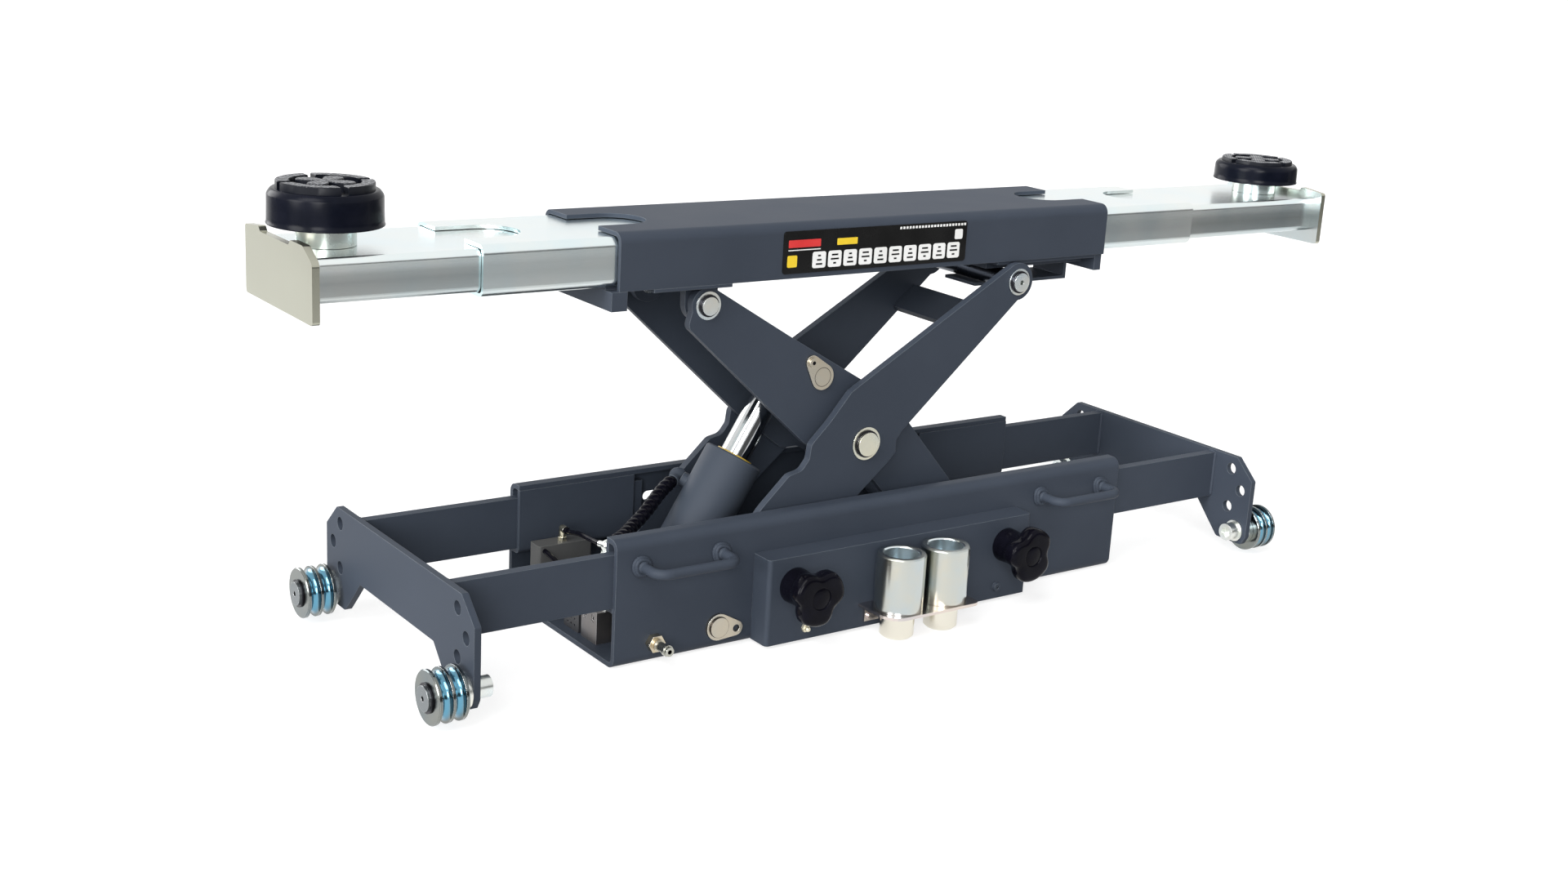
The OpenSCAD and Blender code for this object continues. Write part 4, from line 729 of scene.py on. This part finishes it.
def arcBlock(shape, quarter):
    outer, inner, slit = shape["treadOuter"], shape["treadInner"], shape["slit"]
    steps = shape["arcSteps"]
    outline = []
    for radius, forward in ((outer, True), (inner, False)):
        gap = math.asin(slit / radius)
        turns = [gap + (math.pi / 2 - 2 * gap) * k / steps for k in range(steps + 1)]
        for a in turns if forward else turns[::-1]:
            a += quarter * math.pi / 2
            outline.append(Vector((radius * math.cos(a), radius * math.sin(a))))
    return outline


def lobeBlock(shape, quarter):
    middle = quarter * math.pi / 2 + math.pi / 4
    reach, steps = shape["lobeReach"], shape["lobeSteps"]
    outline = []
    for k in range(steps):
        a = 2 * math.pi * k / steps
        long = reach * 0.5 + reach * 0.48 * math.cos(a)
        wide = reach * shape["lobeWidth"] * math.sin(a) * (1 + shape["lobeTaper"] * math.cos(a))
        outline.append(Vector((
            long * math.cos(middle) - wide * math.sin(middle),
            long * math.sin(middle) + wide * math.cos(middle),
        )))
    return outline


def makePad(side):
    shape = padShape
    lo, _, middle = box(side + "_pad_rubber")
    foot = Vector((middle.x, middle.y, lo.z))
    radius = shape["radius"]
    wallTop, deckTop, padTop = shape["heights"][side]
    bottom = [(0.033, 0), (radius - 0.002, 0), (radius - 0.0004, 0.0003), (radius, 0.0009)]
    bead = [(radius, shape["bead"]), (radius - 0.0007, shape["bead"] + 0.0008)]
    wall = [
        (radius - 0.0008, 0.008), (radius - 0.0010, 0.016), (radius - 0.0012, wallTop - 0.003),
        (radius - 0.0018, wallTop - 0.001), (radius - 0.0030, wallTop + 0.0008),
        (radius - 0.0048, deckTop - 0.0008), (radius - 0.0060, deckTop - 0.0001),
    ]
    deck = [(0.050, deckTop), (0.030, deckTop), (0.0125, deckTop)]
    points, faces = lathe(bottom + bead + wall + deck, foot)
    body = meshPiece(side + "PadCup", points, faces, blackRubber, side + "_pad")
    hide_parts(side + "_pad_rubber")
    for quarter in range(4):
        for kind, outline in (("Arc", arcBlock(shape, quarter)), ("Lobe", lobeBlock(shape, quarter))):
            points, faces = roundedBlock(outline, deckTop - shape["sunk"], padTop, shape["edge"])
            block = meshPiece(
                f"{side}Pad{kind}{quarter}", [p + foot for p in points], faces, treadRubber, side + "_pad"
            )
            sharpen(block)


for side in ("left", "right"):
    makePad(side)
print("pads made")


# knobs: three-lobed head with a sunk cap, and a round hub

knobShape = {
    "radius": 0.035,
    "hollowReach": 0.050,
    "hollowRadius": 0.024,
    "headLength": 0.022,
    "hubRadius": 0.022,
    "hubLength": 0.033,
    "cap": 0.013,
    "axisHeight": 0.076,
    "blur": 5,
    "steps": 144,
    "hollows": {"left": (90, -35, 200), "right": (120, 0, 216)},
}


def lobeRadius(angle, hollows):
    s = knobShape
    radius = s["radius"]
    for hollow in hollows:
        turn = (angle - math.radians(hollow) + math.pi) % (2 * math.pi) - math.pi
        inside = s["hollowRadius"] ** 2 - (s["hollowReach"] * math.sin(turn)) ** 2
        if abs(turn) < math.pi / 2 and inside > 0:
            radius = min(radius, s["hollowReach"] * math.cos(turn) - math.sqrt(inside))
    return radius


def makeKnob(side):
    s = knobShape
    lo, _, middle = box(side + "_knob")
    front, blur, steps = lo.y, s["blur"], s["steps"]
    raw = [lobeRadius(2 * math.pi * k / steps, s["hollows"][side]) for k in range(steps)]
    outline = [
        sum(raw[(k + j) % steps] for j in range(-blur, blur + 1)) / (2 * blur + 1) for k in range(steps)
    ]
    depth, cap, hubRadius = s["headLength"], s["cap"], s["hubRadius"]
    hubEnd = depth + s["hubLength"]
    rounds = [  # radius and distance from the front of the sunk cap
        (cap - 0.0012, 0.0010), (cap, 0.0016), (cap + 0.0006, 0.0002), (cap + 0.0022, 0.0),
    ]
    lobes = [  # distance inside the lobed outline and from the front
        (-0.0075, 0.0), (-0.0045, 0.0005), (-0.0020, 0.0018), (-0.0006, 0.0036), (0.0, 0.0060),
        (0.0, depth * 0.55), (-0.0004, depth * 0.8), (-0.0018, depth - 0.0016), (-0.0045, depth),
    ]
    hub = [
        (hubRadius + 0.0004, depth + 0.0006), (hubRadius - 0.0006, depth + 0.003),
        (hubRadius - 0.0008, depth + 0.016), (hubRadius - 0.0002, depth + 0.026),
        (hubRadius, hubEnd - 0.0015), (hubRadius - 0.001, hubEnd), (0.007, hubEnd),
    ]
    rings = [
        (*ring, lobed) for part, lobed in ((rounds, False), (lobes, True), (hub, False)) for ring in part
    ]
    points = []
    for amount, back, lobed in rings:
        for k in range(steps):
            a = 2 * math.pi * k / steps
            radius = outline[k] + amount if lobed else amount
            points.append(Vector((
                middle.x + radius * math.cos(a), front + back, s["axisHeight"] + radius * math.sin(a)
            )))
    faces = shellFaces(steps, len(rings))
    knob = meshPiece(side + "KnobHead", points, faces, blackPlastic, side + "_knob")
    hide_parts(side + "_knob")
    sharpen(knob, 50)


for side in ("left", "right"):
    makeKnob(side)
print("knobs made")


# hydraulic hose in its spiral guard, bending from the tray to the barrel

hose = {
    "route": [
        (-350, -52, 124), (-336, -44, 124.6), (-318, -29.5, 125.6), (-300, -15.5, 128), (-282, -4, 133),
        (-266, 6, 139.5), (-250, 16, 146.5), (-234, 26, 152.2), (-218.1, 33.3, 156.7),
    ],
    "radius": 0.009,
    "play": 0.0003,
    "valley": 0.0021,
    "crown": 0.45,
    "plainEnd": 0.05,
    "bands": 15,
    "sides": 28,
    "ringsPerBand": 12,
}


def makeHose():
    total = hose["bands"] * hose["ringsPerBand"]
    points = smoothRoute(hose["route"], total)

    def radiusAt(i, angle):
        share = i / total
        phase = (i / hose["ringsPerBand"] + angle / (2 * math.pi)) % 1
        crown = math.sin(math.pi * phase) ** hose["crown"]
        fade = min(1, share / hose["plainEnd"], (1 - share) / hose["plainEnd"])
        return hose["radius"] - hose["play"] - hose["valley"] * (1 - crown * fade)

    rings, faces = tubeAlong(points, radiusAt, hose["sides"])
    guard = meshPiece("hoseGuard", rings, faces, blackPlastic, None)
    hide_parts("hydraulic_hose")
    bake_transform(guard)


makeHose()


airTubes = {
    "feed": [
        (-348, 62.7, 103), (-348, 56, 103.2), (-349, 48, 105), (-352, 34, 109), (-356, 14, 114),
        (-359, -12, 117), (-361.5, -32, 119.5), (-362, -42, 120.6),
    ],
    "vent": [
        (-378, 59.5, 82), (-378, 50, 81), (-376, 34, 76), (-373, 12, 66), (-371, -12, 56),
        (-370, -32, 52), (-370, -42, 53), (-370, -45.8, 49), (-370, -46, 45.4),
    ],
    "radius": 0.003,
    "collar": 0.0042,
    "collarRings": 5,
    "rings": 72,
    "sides": 20,
}


def makeAirTubes():
    for key in ("feed", "vent"):
        points = smoothRoute(airTubes[key], airTubes["rings"])

        def radiusAt(i, angle):
            atEnd = min(i, airTubes["rings"] - i) < airTubes["collarRings"]
            return airTubes["collar"] if atEnd and key == "feed" else airTubes["radius"]

        rings, faces = tubeAlong(points, radiusAt, airTubes["sides"])
        tube = meshPiece(key + "Tube", rings, faces, blackPlastic, "base")
        sharpen(tube, 50)
        if key == "feed":
            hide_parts("air_tubes")


makeAirTubes()
print("hose and tubes made")


# welds: rippled beads where the plates and bars are joined

weld = {
    "radius": 0.0022,
    "ripple": 0.0005,
    "pitch": 0.0032,
    "sides": 8,
    "step": 0.0011,
    "taperSteps": 3,
    "plateX": 0.5878,
    "barY": (("In", 0.1083), ("Out", 0.1204)),
    "barZ": (("Upper", 0.1360), ("Lower", 0.0720)),
    "sideZ": (0.0725, 0.1355),
    "handleFeet": (-0.358, -0.251, 0.249, 0.356),
    "footRings": ((0.0104, 0.0016), (0.0088, 0.0046)),  # radius and distance from the handle's rear
    "footWobble": (0.0004, 0.0002),  # the least, and what each further ring adds
}


def makeBead(name, points, body, upright=axisZ):
    length = sum((b - a).length for a, b in zip(points, points[1:]))
    steps = max(8, int(length / weld["step"]))
    path = []
    for n in range(steps + 1):
        at = n / steps * (len(points) - 1)
        i = min(int(at), len(points) - 2)
        path.append(points[i].lerp(points[i + 1], at - i))

    def radiusAt(i, angle):
        run = i / steps * length
        fade = min(1, (i + 1) / weld["taperSteps"], (steps - i + 1) / weld["taperSteps"])
        return (weld["radius"] + weld["ripple"] * abs(math.sin(math.pi * run / weld["pitch"]))) * fade

    rings, faces = tubeAlong(path, radiusAt, weld["sides"], Vector(upright))
    bead = meshPiece(name, rings, faces, paint, body)


def ringPoints(centre, radius, wobble, steps=36):
    points = []
    for k in range(steps + 1):
        a = 2 * math.pi * k / steps
        r = radius + wobble * math.sin(3 * a + 1)
        points.append(centre + Vector((r * math.cos(a), 0, r * math.sin(a))))
    return points


def makeWelds():
    for side, s in (("left", -1), ("right", 1)):
        x, body = s * weld["plateX"], side + "_carriage"
        for row, y in (("Front", -1), ("Rear", 1)):
            for face, z in weld["barZ"]:
                ends = [Vector((x, y * reach, z)) for _, reach in weld["barY"]]
                makeBead(f"{side}{row}{face}Weld", ends, body)
            for edge, reach in weld["barY"]:
                ends = [Vector((x, y * reach, z)) for z in weld["sideZ"]]
                makeBead(f"{side}{row}{edge}Weld", ends, body, axisY)


def makeFootWelds():
    _, hi, middle = box("carry_handles")
    least, growth = weld["footWobble"]
    for number, x in enumerate(weld["handleFeet"]):
        for layer, (radius, reach) in enumerate(weld["footRings"]):
            centre = Vector((x, hi.y - reach, middle.z))
            wobble = least + growth * (number + layer)
            makeBead(f"footWeld{number}_{layer}", ringPoints(centre, radius, wobble), "base", axisY)


makeWelds()
makeFootWelds()
print("welds made")


# generic printed strip: plain tiles and bars, no words

labelLook = {
    "tileCount": 10,
    "tile": 0.0195,
    "tileStep": 0.0228,
    "tileX": 0.020,
    "tileZ": 0.0145,
    "tileCorner": 0.003,
    "markWidths": (0.004, 0.0026),  # the narrowest, and what each step adds
    "markRise": 0.0050,
    "markHeight": 0.0020,
    "markLift": 1.8,
    "toothCount": 22,
    "tooth": 0.0030,
    "toothStep": 0.0048,
    "toothInset": 0.004,
    "relief": 0.00025,
    "inks": {
        "Black": ((0.003, 0.003, 0.003), (0.005, 0.005, 0.005), (0.22, 0.3), 0.25),
        "White": ((0.80, 0.80, 0.78), (0.86, 0.86, 0.85), (0.3, 0.4), 0.5),
        "Red": ((0.62, 0.02, 0.02), (0.70, 0.03, 0.03), (0.3, 0.4), 0.5),
        "Yellow": ((0.80, 0.55, 0.01), (0.88, 0.63, 0.02), (0.3, 0.4), 0.5),
    },
    "patches": [  # name, x from the left, z from the top, width, height, ink, corner
        ("Stripe", 0.030, -0.0150, 0.046, 0.0090, "Red", 0.001),
        ("Line", 0.030, -0.0225, 0.046, 0.0012, "White", 0.0),
        ("Bar", 0.092, -0.0155, 0.030, 0.0080, "Yellow", 0.001),
    ],
    "squareX": 0.013,
    "squares": {"low": 0.014, "high": 0.0125},
    "highSquareZ": 0.016,
    "squareCorner": 0.002,
}


def makeFlat(name, x, z, width, height, lift, material, corner=0.0):
    y = box("label_plate")[0].y - lift
    outline = []
    for sx, sz, start in ((1, 1, 0), (-1, 1, 90), (-1, -1, 180), (1, -1, 270)):
        for k in range(6) if corner else (0,):
            a = math.radians(start + 90 * k / 5)
            outline.append((
                x + sx * (width / 2 - corner) + corner * math.cos(a),
                z + sz * (height / 2 - corner) + corner * math.sin(a),
            ))
    points = [Vector((px, y + back, pz)) for back in (lift, 0) for px, pz in outline]
    piece = meshPiece(name, points, shellFaces(len(outline), 2), material, "beam", False)


def makeLabel():
    s = labelLook
    ink = {
        name: makeMoulded("label" + name, dark, pale, rough, bump=0.02, shine=shine)
        for name, (dark, pale, rough, shine) in s["inks"].items()
    }
    dress(["label_plate"], ink["Black"])
    lo, hi, _ = box("label_plate")
    lift, tile, inset, curve = s["relief"], s["tile"], s["squareX"], s["squareCorner"]
    least, growth = s["markWidths"]
    for n in range(s["tileCount"]):
        x, z = hi.x - s["tileX"] - n * s["tileStep"], lo.z + s["tileZ"]
        makeFlat(f"labelTile{n}", x, z, tile, tile, lift, ink["White"], s["tileCorner"])
        for row in range(3):
            width, rise = least + growth * ((n * 2 + row * 3) % 4), s["markRise"] * (row - 1)
            raised = lift * s["markLift"]
            makeFlat(f"labelMark{n}_{row}", x, z + rise, width, s["markHeight"], raised, ink["Black"])
    low, high = s["squares"]["low"], s["squares"]["high"]
    makeFlat("labelSquare", lo.x + inset, lo.z + s["tileZ"], low, low, lift, ink["Yellow"], curve)
    for name, x, z, width, height, colour, corner in s["patches"]:
        makeFlat("label" + name, lo.x + x, hi.z + z, width, height, lift, ink[colour], corner)
    for n in range(s["toothCount"]):
        x, z = hi.x - s["toothInset"] - n * s["toothStep"], hi.z - s["toothInset"]
        makeFlat(f"labelTooth{n}", x, z, s["tooth"], s["tooth"], lift, ink["White"])
    makeFlat("labelCorner", hi.x - inset, hi.z - s["highSquareZ"], high, high, lift, ink["White"], curve)


makeLabel()
print("label made")


# pale floor, soft studio light, and cards that only reflections see

studio = {
    "floorSize": 60,
    "floorHeight": -0.0002,
    "floorColour": (0.42, 0.42, 0.42, 1),
    "floorGlow": 0.72,
    "skyStrength": 0.42,
    "suns": [
        {"name": "softSun", "strength": 1.75, "from": (-0.60, -0.30, 0.80), "angle": 36},
        {"name": "fillSun", "strength": 1.60, "from": (-0.60, -0.76, 0.30), "angle": 24},
        {"name": "leftSun", "strength": 2.00, "from": (-0.93, -0.12, 0.30), "angle": 30},
        {"name": "rearSun", "strength": 1.20, "from": (-0.35, 0.90, 0.25), "angle": 36},
    ],
}


def emptyTree(holder):  # the cleared node tree of a material or the world
    holder.use_nodes = True
    holder.node_tree.nodes.clear()
    return holder.node_tree


def seenDirectly(tree):  # one for the camera, for reflections and for views through glass
    rays = addNode(tree, "ShaderNodeLightPath")
    seen = mathNode(tree, "MAXIMUM", rays.outputs["Is Camera Ray"], rays.outputs["Is Glossy Ray"])
    return mathNode(tree, "MAXIMUM", seen, rays.outputs["Is Transmission Ray"])


def makeSheet(name, width, depth, material, z=0.0):
    x, y = width / 2, depth / 2
    mesh = bpy.data.meshes.new(name)
    mesh.from_pydata([(-x, -y, z), (x, -y, z), (x, y, z), (-x, y, z)], [], [(0, 1, 2, 3)])
    mesh.materials.append(material)
    sheet = bpy.data.objects.new(name, mesh)
    scene.collection.objects.link(sheet)
    return sheet


def makeFloor():
    material = bpy.data.materials.new("paleFloor")
    tree = emptyTree(material)
    diffuse = addNode(tree, "ShaderNodeBsdfDiffuse", {"Color": studio["floorColour"]})
    glow = addNode(tree, "ShaderNodeEmission", {"Color": (1, 1, 1, 1)})
    shine = mathNode(tree, "MULTIPLY", seenDirectly(tree), studio["floorGlow"])
    join(tree, shine, glow.inputs["Strength"])
    both = addNode(tree, "ShaderNodeAddShader")
    out = addNode(tree, "ShaderNodeOutputMaterial")
    join(tree, diffuse.outputs[0], both.inputs[0])
    join(tree, glow.outputs[0], both.inputs[1])
    join(tree, both.outputs[0], out.inputs["Surface"])
    size = studio["floorSize"]
    floor = makeSheet("floor", size, size, material, studio["floorHeight"])


def makeSky():
    world = bpy.data.worlds.new("studio")
    scene.world = world
    tree = emptyTree(world)
    back = addNode(tree, "ShaderNodeBackground", {"Color": (1, 1, 1, 1)})
    strength = spread(tree, seenDirectly(tree), 0, 1, studio["skyStrength"], 1.0)
    join(tree, strength, back.inputs["Strength"])
    out = addNode(tree, "ShaderNodeOutputWorld")
    join(tree, back.outputs[0], out.inputs["Surface"])


def makeSuns():
    for look in studio["suns"]:
        data = bpy.data.lights.new(look["name"], "SUN")
        data.energy = look["strength"]
        data.angle = math.radians(look["angle"])
        sun = bpy.data.objects.new(look["name"], data)
        sun.rotation_euler = Vector(look["from"]).to_track_quat("Z", "Y").to_euler()
        scene.collection.objects.link(sun)


cards = [
    {"name": "front", "centre": (0.9, -2.2, 0.35), "size": (5.0, 1.1), "turn": (-70, 0, 12), "shade": 0.10},
    {"name": "ground", "centre": (0.2, -2.05, 0.002), "size": (6.0, 2.84), "turn": (0, 0, 0), "shade": 0.90},
    {"name": "right", "centre": (2.6, -0.3, 0.4), "size": (1.8, 1.2), "turn": (90, 0, -75), "shade": 0.20},
    {"name": "left", "centre": (-2.6, 1.3, 0.2), "size": (2.6, 1.2), "turn": (80, 0, 60), "shade": 0.35},
]


def makeCards():
    for card in cards:
        name = card["name"] + "Card"
        material = bpy.data.materials.new(name + "Shade")
        tree = emptyTree(material)
        glow = addNode(tree, "ShaderNodeEmission", {"Color": (card["shade"],) * 3 + (1,), "Strength": 1.0})
        out = addNode(tree, "ShaderNodeOutputMaterial")
        join(tree, glow.outputs[0], out.inputs["Surface"])
        piece = makeSheet(name, *card["size"], material)
        piece.location = card["centre"]
        piece.rotation_euler = [math.radians(a) for a in card["turn"]]
        piece.visible_camera = False
        piece.visible_diffuse = False
        piece.visible_shadow = False
        piece.visible_transmission = False


makeFloor()
makeSky()
makeSuns()
makeCards()
print("studio made")
